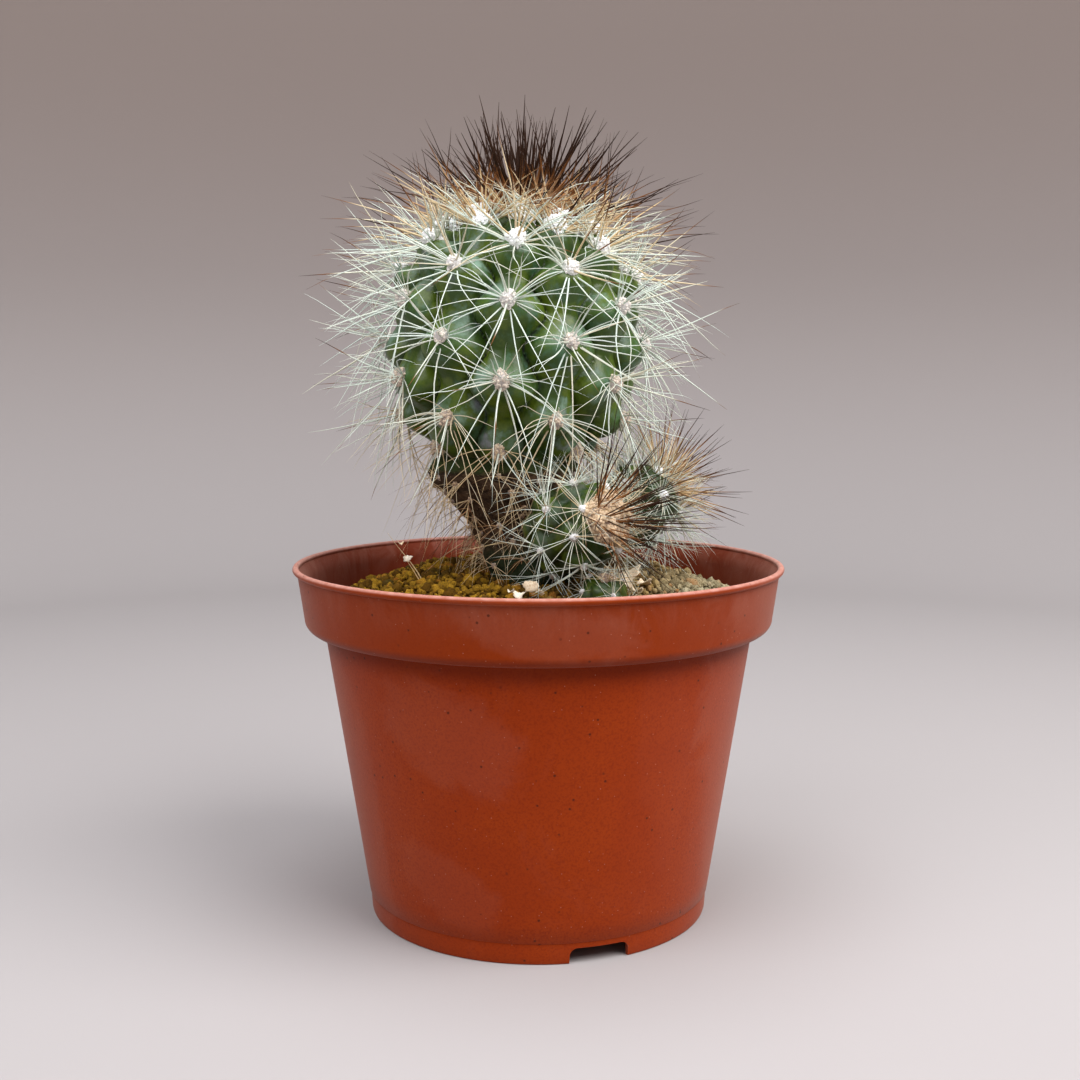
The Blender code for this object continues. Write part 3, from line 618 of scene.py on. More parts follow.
def wax_and_shelf_light(made, crest, shelf, fleck, olive):
    """How much bloom lies on the skin: in patches, more on the crests and less on olive. There is
    more on the shelves above the areoles, partly as painted light where they face up.
    """
    patch = made.noise(4.5 * MM, 4.0, 0.6, warp=0.4)
    # The shelf term is partly bloom and partly painted light: the upward shelves above the areoles
    # come out paler
    wax_and_light = made.math("MULTIPLY_ADD", patch, 2.2, made.math("MULTIPLY_ADD", shelf, 0.32, -1.06))
    wax_and_light = made.math("ADD", wax_and_light, made.math("MULTIPLY_ADD", made.noise(12 * MM, 2.0), 1.4, -0.70))
    wax_and_light = made.math("ADD", wax_and_light, made.math("MULTIPLY_ADD", crest, 0.34, -0.17))
    wax_and_light = made.math("ADD", wax_and_light, made.math("MULTIPLY_ADD", fleck, 0.30, -0.15), clamp=True)
    return made.math("SUBTRACT", wax_and_light, made.math("MULTIPLY", olive, 0.45), clamp=True)


def bare_green(made, crest, chin_shade, olive, tones):
    """The green under the bloom: deep in the creases, partly its own colour and partly painted shade;
    painted shade under the chins; bluish or olive in patches.
    """
    # Deep green where the crest is low, in the grooves: partly the skin's own colour, partly painted
    # shade
    colour = made.mix(made.step(crest, 0.25, 0.85), tones["deep"], tones["middle"])
    # Painted shade under each areole's chin
    colour = made.tinted(colour, tones["deep"], chin_shade, 0.70)
    blue = made.step(made.noise(3.2 * MM, 4.0, 0.6, warp=0.5), 0.48, 0.70)
    colour = made.tinted(colour, tones["bluish"], blue, 0.65)
    return made.tinted(colour, OLIVE, olive, 0.80)


def corked(made, colour, fleck):
    """The skin's colour, turned to cork at the foot of the head, with a few scabs."""
    ragged = made.math("MULTIPLY_ADD", made.noise(3 * MM, 4.0, 0.7), 0.16, -0.08)
    cork = made.step(made.math("ADD", made.read("age"), ragged), 0.93, 0.985)
    colour = made.mix(cork, colour, made.mix(fleck, CORK_DARK, CORK_PALE))
    scab = made.step(made.noise(1.6 * MM, 4.0, 0.7), 0.70, 0.76)
    return made.tinted(colour, SCAB, scab, 0.35)


def green_skin(name, tones):
    """Skin with bloom: pale bloom on the tubercles' crests, and painted light on the shelves above
    the areoles. Deep green and painted shade lie in the creases and under the chins. There is cork
    below.
    """
    made = Finish(name, 0.5, Specular_IOR_Level=0.35)
    crest = made.read("crest")
    fleck = made.noise(0.40 * MM, 3.0, 0.6)
    olive = made.step(made.noise(6 * MM, 4.0, 0.65), 0.46, 0.62)
    wax_and_light = wax_and_shelf_light(made, crest, made.read("shelf"), fleck, olive)
    lilac = made.step(made.noise(4.2 * MM, 3.0, 0.6, warp=0.6), 0.50, 0.64)
    bloom = made.mix(lilac, tones["bloom"], tones["mauve"])
    colour = bare_green(made, crest, made.read("chin_shade"), olive, tones)
    colour = made.mix(made.step(wax_and_light, 0.02, 0.85), colour, bloom)
    freckles = made.math("MULTIPLY_ADD", fleck, 0.9, -0.28, clamp=True)
    colour = made.mix(freckles, colour, tones["deep"])
    blush = made.math("MULTIPLY", made.read("blush"), made.step(crest, 0.60, 0.90))
    blush = made.math("MULTIPLY", blush, made.step(made.noise(2 * MM, 3.0), 0.36, 0.60))
    colour = made.tinted(colour, BLUSH, blush, 0.65)
    colour = made.tinted(colour, CREASE_SHADE, made.step(made.read("seam"), 0.15, 0.0), 0.88)
    made.set("Base Color", corked(made, colour, fleck))
    made.set("Roughness", made.math("MULTIPLY_ADD", wax_and_light, 0.26, 0.33))
    low = made.bump(made.noise(2.2 * MM, 3.0), 0.22 * MM, 0.5)
    made.set("Normal", made.bump(fleck, 0.06 * MM, 0.55, low))
    return made.material


def spine_horn():
    """Spines: ivory to orange brown at the base, each turning dark from its own point up."""
    ivory, straw, orange = (0.66, 0.76, 0.70), (0.66, 0.49, 0.27), (0.42, 0.168, 0.052)
    cream, brown, black = (0.82, 0.76, 0.62), (0.185, 0.070, 0.020), (0.022, 0.008, 0.004)
    made = Finish("spine horn", 0.42, Specular_IOR_Level=0.10)
    warmth = made.read("warmth")
    colour = made.mix(made.step(warmth, 0.0, 0.45), ivory, straw)
    colour = made.mix(made.step(warmth, 0.45, 1.0), colour, orange)
    colour = made.tinted(colour, cream, made.read("tint"), 0.25)
    past = made.math("SUBTRACT", made.read("along"), made.read("dark_from"))
    colour = made.mix(made.step(past, -0.14, 0.02), colour, brown)
    colour = made.mix(made.step(past, 0.0, 0.22), colour, black)
    colour = made.tinted(colour, (0.10, 0.06, 0.03), made.noise(0.5 * MM, 2.0), 0.10)
    made.set("Base Color", colour)
    return made.material


def areole_wool():
    """Felted curls: white on young areoles, tan and grubby on old ones."""
    made = Finish("areole wool", 0.95, Sheen_Weight=0.25, Sheen_Roughness=0.5)
    white, tint = made.read("white"), made.read("tint")
    tan = made.mix(tint, (0.45, 0.28, 0.13), (0.69, 0.50, 0.30))
    pale = made.mix(tint, (0.86, 0.90, 0.93), (0.96, 0.98, 1.0))
    colour = made.mix(made.math("MULTIPLY", white, 1.0, clamp=True), tan, pale)
    pad = made.mix(white, (0.26, 0.16, 0.10), (0.84, 0.86, 0.88))
    colour = made.mix(made.step(tint, 0.10, 0.02), colour, pad)
    grub = made.step(made.noise(0.9 * MM, 3.0), 0.56, 0.74)
    grub = made.math("MULTIPLY", grub, made.math("MULTIPLY_ADD", white, -0.65, 0.62), clamp=True)
    colour = made.mix(grub, colour, (0.40, 0.27, 0.13))
    made.set("Base Color", colour)
    made.set("Normal", made.bump(made.noise(0.12 * MM, 3.0), 0.05 * MM, 0.8))
    return made.material


def corky_bark():
    """Old stem: cracked brown cork with tan flakes, dark green near the soil and at the neck."""
    made = Finish("corky bark", 0.85, Specular_IOR_Level=0.2)
    z = made.axes()["Z"]
    layers = made.noise(2.4 * MM, 5.0, 0.7, (1, 1, 2.2), 0.5)
    fine = made.noise(0.5 * MM, 4.0, 0.7)
    colour = made.mix(made.step(layers, 0.35, 0.68), (0.022, 0.012, 0.0070), (0.105, 0.062, 0.033))
    colour = made.mix(made.step(fine, 0.58, 0.72), colour, (0.234, 0.164, 0.101))
    wander = made.math("MULTIPLY_ADD", made.noise(3 * MM), 5 * MM, -2.5 * MM)
    green = made.step(made.math("ADD", z, wander), 66.5 * MM, 62.5 * MM)
    leaf = made.mix(fine, (0.0045, 0.013, 0.0035), (0.013, 0.032, 0.009))
    colour = made.tinted(colour, leaf, green, 0.9)
    edge = made.math("ADD", z, made.math("MULTIPLY", wander, 0.35))
    neck = made.step(edge, 76.9 * MM, 78.1 * MM)
    colour = made.tinted(colour, (0.035, 0.058, 0.014), neck, 0.9)
    made.set("Base Color", colour)
    made.set("Normal", made.bump(fine, 0.25 * MM, 0.9, made.bump(layers, 0.6 * MM, 0.9)))
    return made.material


def mineral_grit():
    """Dry crumb: ochre and olive at the left, grey at the right, and a few rusty grains. Dark
    mottling is partly darker crumbs and partly painted shade for the crevices between them.
    """
    made = Finish("mineral grit", 0.95, Specular_IOR_Level=0.1)
    tint = made.read("tint")
    patch = made.noise(13 * MM, 3.0)
    fine = made.noise(0.25 * MM, 4.0, 0.7)
    ochre = made.mix(made.step(tint, 0.1, 0.9), (0.082, 0.037, 0.003), (0.350, 0.192, 0.016))
    grey = made.mix(tint, (0.220, 0.183, 0.100), (0.440, 0.392, 0.265))
    patchy = made.math("MULTIPLY_ADD", patch, 1.4, -0.75)
    right = made.math("MULTIPLY_ADD", made.axes()["X"], 21.0, patchy)
    colour = made.mix(made.step(right, -0.12, 0.72), ochre, grey)
    rust = made.math("MULTIPLY", made.step(tint, 0.82, 0.90), made.step(patch, 0.38, 0.56))
    colour = made.tinted(colour, (0.281, 0.101, 0.016), rust, 0.8)
    moss = made.math("MULTIPLY", made.step(tint, 0.35, 0.2), made.step(patch, 0.5, 0.62))
    colour = made.tinted(colour, (0.047, 0.055, 0.016), moss, 0.5)
    # Dark mottling: partly darker crumbs, partly painted shade for the crevices between them
    colour = made.mix(made.step(fine, 0.55, 0.30), colour, (0.066, 0.035, 0.0062))
    made.set("Base Color", colour)
    made.set("Normal", made.bump(fine, 0.12 * MM, 0.9))
    return made.material


def dry_petal():
    """Dry papery scraps: cream with orange veins, paler by each scrap's tint."""
    made = Finish("dry petal", 0.7)
    vein = made.step(made.noise(0.35 * MM, 4.0, 0.6, (3, 1, 1)), 0.45, 0.7)
    colour = made.mix(vein, (0.80, 0.66, 0.48), (0.62, 0.36, 0.15))
    colour = made.tinted(colour, (0.86, 0.82, 0.74), made.read("tint"), 0.6)
    made.set("Base Color", colour)
    made.set("Normal", made.bump(vein, 0.08 * MM, 0.6))
    return made.material


def pale_stage():
    """The plain pale floor, darker up its wall."""
    made = Finish("pale stage", 0.9, Specular_IOR_Level=0.1)
    rise = made.step(made.axes()["Z"], -0.08, 0.28)
    made.set("Base Color", made.mix(rise, (0.392, 0.372, 0.377), (0.215, 0.177, 0.163)))
    return made.material


# Pot


def arc(centre, radius, start, end, steps):
    """Points round part of a circle in the (radius, z) plane, angles in degrees from outwards."""
    points = []
    for step in range(steps + 1):
        turn = math.radians(start + (end - start) * step / steps)
        points.append((centre[0] + radius * math.cos(turn), centre[1] + radius * math.sin(turn)))
    return points


def straight(start, end, steps):
    """Points along a straight stretch, its last one left out."""
    shares = [step / steps for step in range(steps)]
    return [
        (start[0] + (end[0] - start[0]) * share, start[1] + (end[1] - start[1]) * share)
        for share in shares
    ]


def pot_inside():
    """The inner section as (radius, z), from the middle of the floor up to the rim."""
    fillet = WALL_FOOT_RADIUS - WALL - FLOOR_FILLET
    wall_foot = (WALL_FOOT_RADIUS - WALL, FLOOR_TOP + 2 * FLOOR_FILLET)
    collar_foot = (COLLAR_FOOT_RADIUS - WALL, COLLAR_FOOT_Z + 0.5 * WALL)
    points = [(0.0, FLOOR_TOP), (fillet, FLOOR_TOP)]
    points += arc((fillet, FLOOR_TOP + FLOOR_FILLET), FLOOR_FILLET, -60, 0, 3)
    points += straight(wall_foot, (WALL_TOP_RADIUS - WALL, LEDGE_Z), 8)
    points += [(WALL_TOP_RADIUS - WALL, LEDGE_Z + 0.4 * WALL)]
    points += arc(COLLAR_CENTRE, COLLAR_CURVE - WALL, -88, 0, 8)
    points += straight(collar_foot, (COLLAR_TOP_RADIUS - WALL, POT_HEIGHT - 2.0 * BEAD_RADIUS), 6)
    return points


def pot_outside():
    """The outer section as (radius, z), over the bead and down the wall to under the floor."""
    bead = (RIM_RADIUS - BEAD_RADIUS, POT_HEIGHT - BEAD_RADIUS)
    lip = BEAD_RADIUS * 0.9
    corner = 0.45 * MM
    wall_foot = (WALL_FOOT_RADIUS + 0.05 * MM, FOOT_STEP_Z + 0.5 * MM)
    collar_top = (COLLAR_TOP_RADIUS, POT_HEIGHT - 3.2 * lip)
    points = arc(bead, BEAD_RADIUS, 200, -58, 14)
    points += [(COLLAR_TOP_RADIUS + 0.1 * lip, POT_HEIGHT - 2.5 * lip)]
    points += straight(collar_top, (COLLAR_FOOT_RADIUS, COLLAR_FOOT_Z), 8)
    points += arc(COLLAR_CENTRE, COLLAR_CURVE, 0, -84, 10)
    points += arc((WALL_TOP_RADIUS + corner, LEDGE_Z - 0.35 * MM), corner, 90, 180, 3)
    points += straight((WALL_TOP_RADIUS, WALL_TOP_Z), wall_foot, 16)
    points += [
        (WALL_FOOT_RADIUS, FOOT_STEP_Z + FOOT_STEP),
        (WALL_FOOT_RADIUS - FOOT_STEP, FOOT_STEP_Z),
        (FOOT_RADIUS + 0.1 * MM, 2.0 * MM),
        (FOOT_RADIUS, 0.5 * MM),
        (FOOT_RADIUS - 0.12 * MM, 0.12 * MM),
        (FOOT_RADIUS - 0.35 * MM, 0.0),
        (FOOT_RADIUS - WALL, 0.0),
        (FOOT_RADIUS - WALL - FOOT_STEP, FLOOR_UNDERSIDE - 0.4 * MM),
        (FOOT_RADIUS - WALL - 3 * FOOT_STEP, FLOOR_UNDERSIDE),
        (0.0, FLOOR_UNDERSIDE),
    ]
    return points


def cutter(bm, name, place):
    """A shape to cut the pot with, moved to its place."""
    bm.transform(place)
    mesh = bpy.data.meshes.new(name)
    bm.to_mesh(mesh)
    bm.free()
    return linked(name, mesh)


def notch_cutter(angle):
    """A drainage notch through the foot ring, its upper corners rounded."""
    bm = bmesh.new()
    size = Matrix.Diagonal((9.0 * MM, NOTCH_WIDTH, 2 * NOTCH_HEIGHT, 1.0))
    bmesh.ops.create_cube(bm, size=1.0, matrix=size)
    upper = [e for e in bm.edges if all(v.co.z > 0 for v in e.verts)]
    upper = [e for e in upper if abs(e.verts[0].co.y - e.verts[1].co.y) < MM]
    bmesh.ops.bevel(bm, geom=upper, offset=1.3 * MM, segments=6, profile=0.5, affect="EDGES")
    place = Matrix.Rotation(angle, 4, "Z") @ Matrix.Translation((FOOT_RADIUS, 0, 0))
    return cutter(bm, "notch_cutter", place)


def drain_cutter(angle):
    """A round drain hole through the floor."""
    bm = bmesh.new()
    sizes = {"radius1": DRAIN_RADIUS, "radius2": DRAIN_RADIUS, "depth": 9 * MM}
    bmesh.ops.create_cone(bm, cap_ends=True, segments=32, **sizes)
    place = Matrix.Rotation(angle, 4, "Z") @ Matrix.Translation((DRAIN_RING, 0, FLOOR_UNDERSIDE))
    return cutter(bm, "drain_cutter", place)


def make_pot():
    """The thin turned shell, with its notches and drain holes cut through."""
    profile = pot_inside() + pot_outside()
    mesh = bpy.data.meshes.new("pot_shell")
    edges = [(i, i + 1) for i in range(len(profile) - 1)]
    mesh.from_pydata([(radius, 0.0, z) for radius, z in profile], edges, [])
    mesh.materials.append(pot_plastic())
    pot = linked("pot_shell", mesh)
    screw = pot.modifiers.new("turn", "SCREW")
    screw.steps = screw.render_steps = POT_SEGMENTS
    screw.use_merge_vertices = True
    screw.merge_threshold = 0.005 * MM
    screw.use_smooth_shade = True
    cutters = [notch_cutter(angle) for angle in NOTCH_ANGLES]
    for step in range(DRAIN_COUNT):
        cutters.append(drain_cutter(NOTCH_ANGLES[0] + 2 * math.pi * (step + 0.5) / DRAIN_COUNT))
    for item in cutters:
        cut = pot.modifiers.new("cut", "BOOLEAN")
        cut.object = item
        cut.solver = "EXACT"
    baked(pot)
    for item in cutters:
        bpy.data.objects.remove(item)
    pot.data.set_sharp_from_angle(angle=math.radians(38))
    return finished(pot, "terracotta_plastic", "pot")


# Heads


def ramp(value, low, high):
    """A smooth 0 to 1 as the value goes from low to high."""
    share = np.clip((value - low) / (high - low), 0, 1)
    return share * share * (3 - 2 * share)


def by_chance(first, second):
    """A fixed pseudo-random 0 to 1 for each pair of whole numbers."""
    value = np.sin(first * 12.9898 + second * 78.233 + 3.1) * 43758.5453
    return value - np.floor(value)


class Head:
    """A ribbed globe on its own axis. Lengths run down the meridian from the apex."""

    def __init__(self, shape, turn):
        self.shape = shape
        self.centre = shape["centre"]
        self.frame = turn
        points = []
        for step in range(OUTLINE_STEPS + 1):
            polar = math.pi * step / OUTLINE_STEPS
            power, height = 2 / DOME_POWER, shape["top"]
            if polar > math.pi / 2:
                power, height = 2 / BOWL_POWER, -shape["bottom"]
            z = abs(math.cos(polar)) ** power * height
            if z < -shape["seat"]:
                break
            points.append((shape["radius"] * math.sin(polar) ** power, z))
        points.append((0.0, points[-1][1]))
        self.trace = np.array(points)
        runs = np.hypot(*np.diff(self.trace, axis=0).T)
        self.lengths = np.concatenate([[0.0], np.cumsum(runs)])
        self.full_length = self.lengths[-1]
        self.seat_edge = self.lengths[-2]

    def outline(self, length):
        """(distance from the axis, height) on the smooth outline."""
        radius = np.interp(length, self.lengths, self.trace[:, 0])
        return radius, np.interp(length, self.lengths, self.trace[:, 1])

    def slope(self, length):
        """The outline's direction there, as (outwards, upwards)."""
        near = 0.006 * self.full_length
        first = self.outline(np.maximum(length - near, 0.0))
        last = self.outline(np.minimum(length + near, self.full_length))
        run, fall = last[0] - first[0], last[1] - first[1]
        size = np.hypot(run, fall)
        return run / size, fall / size

    def row(self, length):
        """The row of areoles at this length. Rows grow further apart down the head."""
        first, growth = self.shape["first_row"], self.shape["row_growth"]
        return (np.sqrt(first**2 + 4 * growth * length) - first) / (2 * growth)

    def length(self, row):
        """How far down the meridian a row is."""
        return self.shape["first_row"] * row + self.shape["row_growth"] * row**2

    def relief(self, angle, length):
        """The drop below the crests, with each point's crest, seam and place above its areole."""
        ribs, shift = self.shape["ribs"], self.shape["rib_shift"]
        row = self.row(length)
        column = ribs * (self.shape["phase"] - angle) / (2 * math.pi)
        heights, places = [], []
        for rib in (np.floor(column), np.floor(column) + 1):
            across = RIB_FALL * np.abs(2 * (column - rib)) ** RIB_FLATNESS
            own = row - CHIN - shift * rib / ribs
            own = own - SKEW * np.sin(2 * math.pi * own) / (2 * math.pi)
            near = np.round(own)
            hump = (0.5 + 0.5 * np.cos(2 * math.pi * (own - near))) ** HUMP_ROUNDNESS
            place = near + shift * rib / ribs
            chance = by_chance(rib % ribs, np.round(place * ribs)) - 0.5
            narrow = 1 + HUMP_NARROWING * (1 - hump)
            height = 1 - narrow * across - NOTCH * (1 - hump)
            heights.append(height + HUMP_UNEVENNESS * chance * hump)
            places.append(place - row)
        best, seam = np.maximum(*heights), np.abs(heights[0] - heights[1])
        above = np.where(heights[0] > heights[1], *places)
        best = np.clip(best, 0.0, None)
        fade = np.clip((row - 0.7) / 0.8, 0, 1) * np.clip(6 * (1 - length / self.seat_edge), 0, 1)
        drop = self.shape["groove"] * (1 - np.minimum(best, 1.0) ** TUBERCLE_ROUNDNESS)
        drop += self.shape["crease"] * np.exp(-((seam / SEAM_WIDTH) ** 2))
        return drop * fade, best, seam, above

    def points(self, angle, length):
        """The skin's places, for arrays of angles round the axis and lengths down the meridian."""
        radius, z = self.outline(length)
        run, fall = self.slope(length)
        drop = self.relief(angle, length)[0]
        radius = np.maximum(radius + fall * drop, 0.0)
        z = z - run * drop
        local = np.stack([radius * np.sin(angle), -radius * np.cos(angle), z], axis=-1)
        return np.array(self.centre) + local @ np.array(self.frame).T

    def axes(self, angle, length):
        """(outward, sideways, downward) on the smooth outline at one place."""
        run, fall = self.slope(np.array(length))
        down = Vector((run * math.sin(angle), -run * math.cos(angle), fall))
        side = Vector((math.cos(angle), math.sin(angle), 0.0))
        return self.frame @ down.cross(side), self.frame @ side, self.frame @ down

    def areoles(self, first_row, last_share):
        """(rib angle, length down the meridian, row) of each areole."""
        found = []
        ribs = self.shape["ribs"]
        for rib in range(ribs):
            angle = self.shape["phase"] - 2 * math.pi * rib / ribs
            row = (self.shape["rib_shift"] * rib / ribs) % 1.0
            while self.length(row) < last_share * self.seat_edge:
                if row >= first_row:
                    found.append((angle, self.length(row), row))
                row += 1.0
        return found


def skin_grid(head):
    """(angles, lengths) of a skin's points, ring by ring from the apex to inside the seat."""
    seat = [head.seat_edge + (head.full_length - head.seat_edge) * share for share in (0.4, 0.8)]
    lengths = np.concatenate([np.linspace(0, head.seat_edge, head.shape["along"] + 1)[1:], seat])
    angles = np.arange(head.shape["around"]) * 2 * math.pi / head.shape["around"]
    angle, length = np.meshgrid(angles, lengths)
    return angle.ravel(), length.ravel()


def swollen(head, points, length):
    """The points, moved a little in and out so that no two tubercles are quite alike."""
    outward = points - np.array(head.centre)
    outward /= np.linalg.norm(outward, axis=1)[:, None]
    swell = np.array([noise.noise(Vector(p) / SWELL_PITCH) for p in points])
    swell *= np.clip(6 * (1 - length / head.seat_edge), 0, 1)
    return points + outward * (swell * SWELL * head.shape["radius"])[:, None]


def make_skin(name, head, finish, node):
    """The globe's skin as one closed grid, its creases and crests kept as attributes."""
    around = head.shape["around"]
    angle, length = skin_grid(head)
    ends = head.points(np.zeros(2), np.array([0.0, head.full_length]))
    points = np.vstack([swollen(head, head.points(angle, length), length), ends])
    rings = len(length) // around
    top, bottom = len(points) - 2, len(points) - 1
    faces = ring_faces(rings - 1, around) + fan(top, 0, around)
    faces += fan(bottom, (rings - 1) * around, around, flip=True)
    crest, seam, above = head.relief(angle, length)[1:]
    attributes = {
        "crest": np.append(np.clip(crest, 0, 1), [1, 0]),
        "seam": np.append(seam, [1, 1]),
        # The shelf above each areole, which the skin's finish makes paler, partly as painted light
        "shelf": np.append(ramp(above, -0.08, 0.06) * ramp(above, 0.38, 0.16), [0, 0]),
        # Painted shade below each areole, read by the skin's finish
        "chin_shade": np.append(ramp(above, 0.02, -0.22) * ramp(above, -0.60, -0.36), [0, 0]),
        "blush": np.append(ramp(above, 0.05, 0.11) * ramp(above, 0.27, 0.15), [0, 0]),
        "age": np.append(length / head.seat_edge, [0, 1.1]),
    }
    skin = plain_mesh(name, points, faces, attributes)
    skin.data.materials.append(finish)
    return finished(skin, "green_skin", node)


# Trunk


def trunk_centre(z):
    """(x of the trunk's centre, radius) at this height."""
    xs, heights, radii = zip(*reversed(TRUNK_SECTIONS))
    return np.interp(z, heights, xs), np.interp(z, heights, radii)


def flare_share(angle, z):
    """How much of the foot's flare there is here: it swells to the front, low down."""
    away = math.remainder(angle - FOOT_FLARE_TURN, 2 * math.pi) / FOOT_FLARE_SPREAD
    rise = min(1.0, max(0.0, (FOOT_FLARE_TOP - z) / FOOT_FLARE_FADE))
    return math.exp(-(away**2)) * math.sin(math.pi / 2 * rise)


def trunk_point(angle, z, depth=0.0):
    """A point on the bark, which is ringed and lumpy."""
    x, radius = trunk_centre(z)
    rough = noise.noise(Vector((3.2 * angle, z / (1.3 * MM), 0.0)))
    lumps = noise.noise(Vector((math.cos(angle) * 2.2, math.sin(angle) * 2.2, z / (4.5 * MM))))
    fine = noise.noise(Vector((math.cos(angle) * 9, math.sin(angle) * 9, z / (0.8 * MM))))
    radius += (0.30 * rough + 0.95 * lumps + 0.18 * fine) * MM - depth
    radius += FOOT_FLARE * flare_share(angle, z)
    return Vector((x + radius * math.cos(angle), radius * math.sin(angle), z))


def make_trunk():
    """The corky old stem from under the head down into the soil."""
    around, along = 104, 72
    high, low = TRUNK_SECTIONS[0][1], TRUNK_SECTIONS[-1][1]
    points = []
    for ring in range(along + 1):
        z = high + (low - high) * ring / along
        for step in range(around):
            points.append(trunk_point(2 * math.pi * step / around, z))
    faces = ring_faces(along, around)
    faces.append(tuple(range(around)))
    faces.append(tuple(reversed(range(along * around, (along + 1) * around))))
    trunk = plain_mesh("trunk_bark", points, faces)
    trunk.data.set_sharp_from_angle(angle=math.radians(70))
    trunk.data.materials.append(corky_bark())
    return finished(trunk, "corky_bark", "trunk")


# Soil


def soil_height(x, y):
    """The crumbled top of the soil: mounded in the middle, and level near the wall."""
    fall = SOIL_DROP * (math.hypot(x, y) / SOIL_DROP_RADIUS) ** 3
    crumb = SOIL_CRUMB * noise.noise(Vector((x, y, 0.0)) / SOIL_CRUMB_PITCH)
    return max(SOIL_PEAK + SOIL_BACK_RISE * y - fall, SOIL_LEAST) + crumb


def soil_ring(radius, around, sink):
    """Points round the top of the soil, sunk a little under it."""
    return [(x, y, soil_height(x, y) - sink) for x, y in circle(radius, around)]


def make_soil_bed(finish):
    """The plug of soil that fills the pot, its top crumbled."""
    around, rings = 120, 44
    below = [(37.0, 51.0), (35.9, 50.0), (35.4, 47.2), (28.8, 5.9), (27.6, 4.6)]
    points = [(0.0, 0.0, soil_height(0.0, 0.0))]
    for ring in range(1, rings + 1):
        points += soil_ring(SOIL_RADIUS * ring / rings, around, 0.5 * MM)
    for radius, z in below:
        points += [(x, y, z * MM) for x, y in circle(radius * MM, around)]
    points.append((0.0, 0.0, below[-1][1] * MM))
    lower_rings = rings + len(below) - 1
    faces = fan(0, 1, around) + ring_faces(lower_rings, around, 1)
    faces += fan(len(points) - 1, 1 + lower_rings * around, around, flip=True)
    bed = plain_mesh("soil_bed", points, faces, {"tint": np.full(len(points), 0.15)})
    bed.data.materials.append(finish)
    return finished(bed, "mineral_grit", "soil")


def grain_tree():
    """Lumpy grains, scattered over a surface at a spacing, each of its own size and shape."""
    inputs = {"Spacing": float, "Size": float, "Lump": float, "Detail": int, "Seed": int}
    tree = Tree("grains", inputs)
    given = tree.given
    spread = {"Mesh": given["Geometry"], "Distance Min": given["Spacing"], "Seed": given["Seed"]}
    spread["Density Max"] = GRAIN_CROWDING
    poisson = {"distribute_method": "POISSON"}
    points = tree.add("GeometryNodeDistributePointsOnFaces", spread, **poisson)[0]
    ball = {"Radius": given["Size"], "Subdivisions": given["Detail"]}
    ball = tree.add("GeometryNodeMeshIcoSphere", ball)[0]
    size = tree.scaled(tree.random_vector(*ALMOST_ROUND, 3), tree.random(0.25, 1.45, 4))
    placed = tree.instances(points, ball, tree.random_vector(*ANY_TURN, 2), size)
    real = tree.realized(tree.store(placed, "tint", tree.random(0.0, 1.0, 5), "INSTANCE"))
    lump = tree.add("ShaderNodeTexNoise", {"Scale": 1 / LUMP_PITCH, "Detail": 2.0})["Fac"]
    push = tree.math("MULTIPLY", tree.math("SUBTRACT", lump, 0.5), given["Lump"])
    tree.close(tree.moved(real, tree.scaled(tree.add("GeometryNodeInputNormal")[0], push)))
    return tree


def make_grains(name, tree, finish, seed, **values):
    """One layer of crumb over the bed, kept off the wall and out of the trunk."""
    around, rings = 72, 30
    edge = SOIL_RADIUS - 0.35 * values["Size"]
    points = []
    for ring in range(rings + 1):
        radius = GRAIN_HOLE + (edge - GRAIN_HOLE) * ring / rings
        points += soil_ring(radius, around, 0.1 * MM)
    foot_x, foot_radius = trunk_centre(57 * MM)
    faces = []
    for face in ring_faces(rings, around):
        x, y = points[face[1]][:2]
        if math.hypot(x - foot_x, y) > foot_radius - MM:
            faces.append(face)
    layer = plain_mesh(name, points, faces)
    tree.grow(layer, {**values, "Seed": seed, "Material": finish})
    return finished(layer, "mineral_grit")


# Wool


class Pads:
    """Low domes of felt, gathered into one mesh for the wool to grow on."""

    def __init__(self):
        self.points = []
        self.faces = []
        self.white = []

    def add(self, place, frame, radius, height, white, lumps=0.0, around=10, rings=4):
        """A dome at the place, with the frame's third axis outwards."""
        first = len(self.points)
        top = first + rings * around
        for ring in range(rings):
            polar = math.pi / 2 * (1 - ring / rings) + 0.25 * (ring == 0)
            for step in range(around):
                angle = 2 * math.pi * step / around
                flat = Vector((math.cos(angle), math.sin(angle), 0)) * radius * math.sin(polar)
                rise = height * math.cos(polar)
                out = 1 + lumps * noise.noise((place + flat) / (0.45 * radius))
                self.points.append(place + frame @ (flat * out + Vector((0, 0, rise * out))))
        self.points.append(place + frame @ Vector((0, 0, height)))
        for a, b, c, d in ring_faces(rings - 1, around, first):
            self.faces.append((a, d, c, b))
        for centre, a, b in fan(top, top - around, around):
            self.faces.append((a, b, centre))
        self.faces.append(tuple(reversed(range(first, first + around))))
        self.white += [white] * (len(self.points) - first)

    def grow(self, name, tree, finish, curl, density, hair, seed, *nodes):
        """The finished piece of wool, grown over all the pads."""
        pad = plain_mesh(name, self.points, self.faces, {"white": self.white})
        values = {"Curl": curl, "Density": density, "Hair": hair, "Seed": seed}
        tree.grow(pad, {**values, "Material": finish})
        return finished(pad, "areole_wool", *nodes)


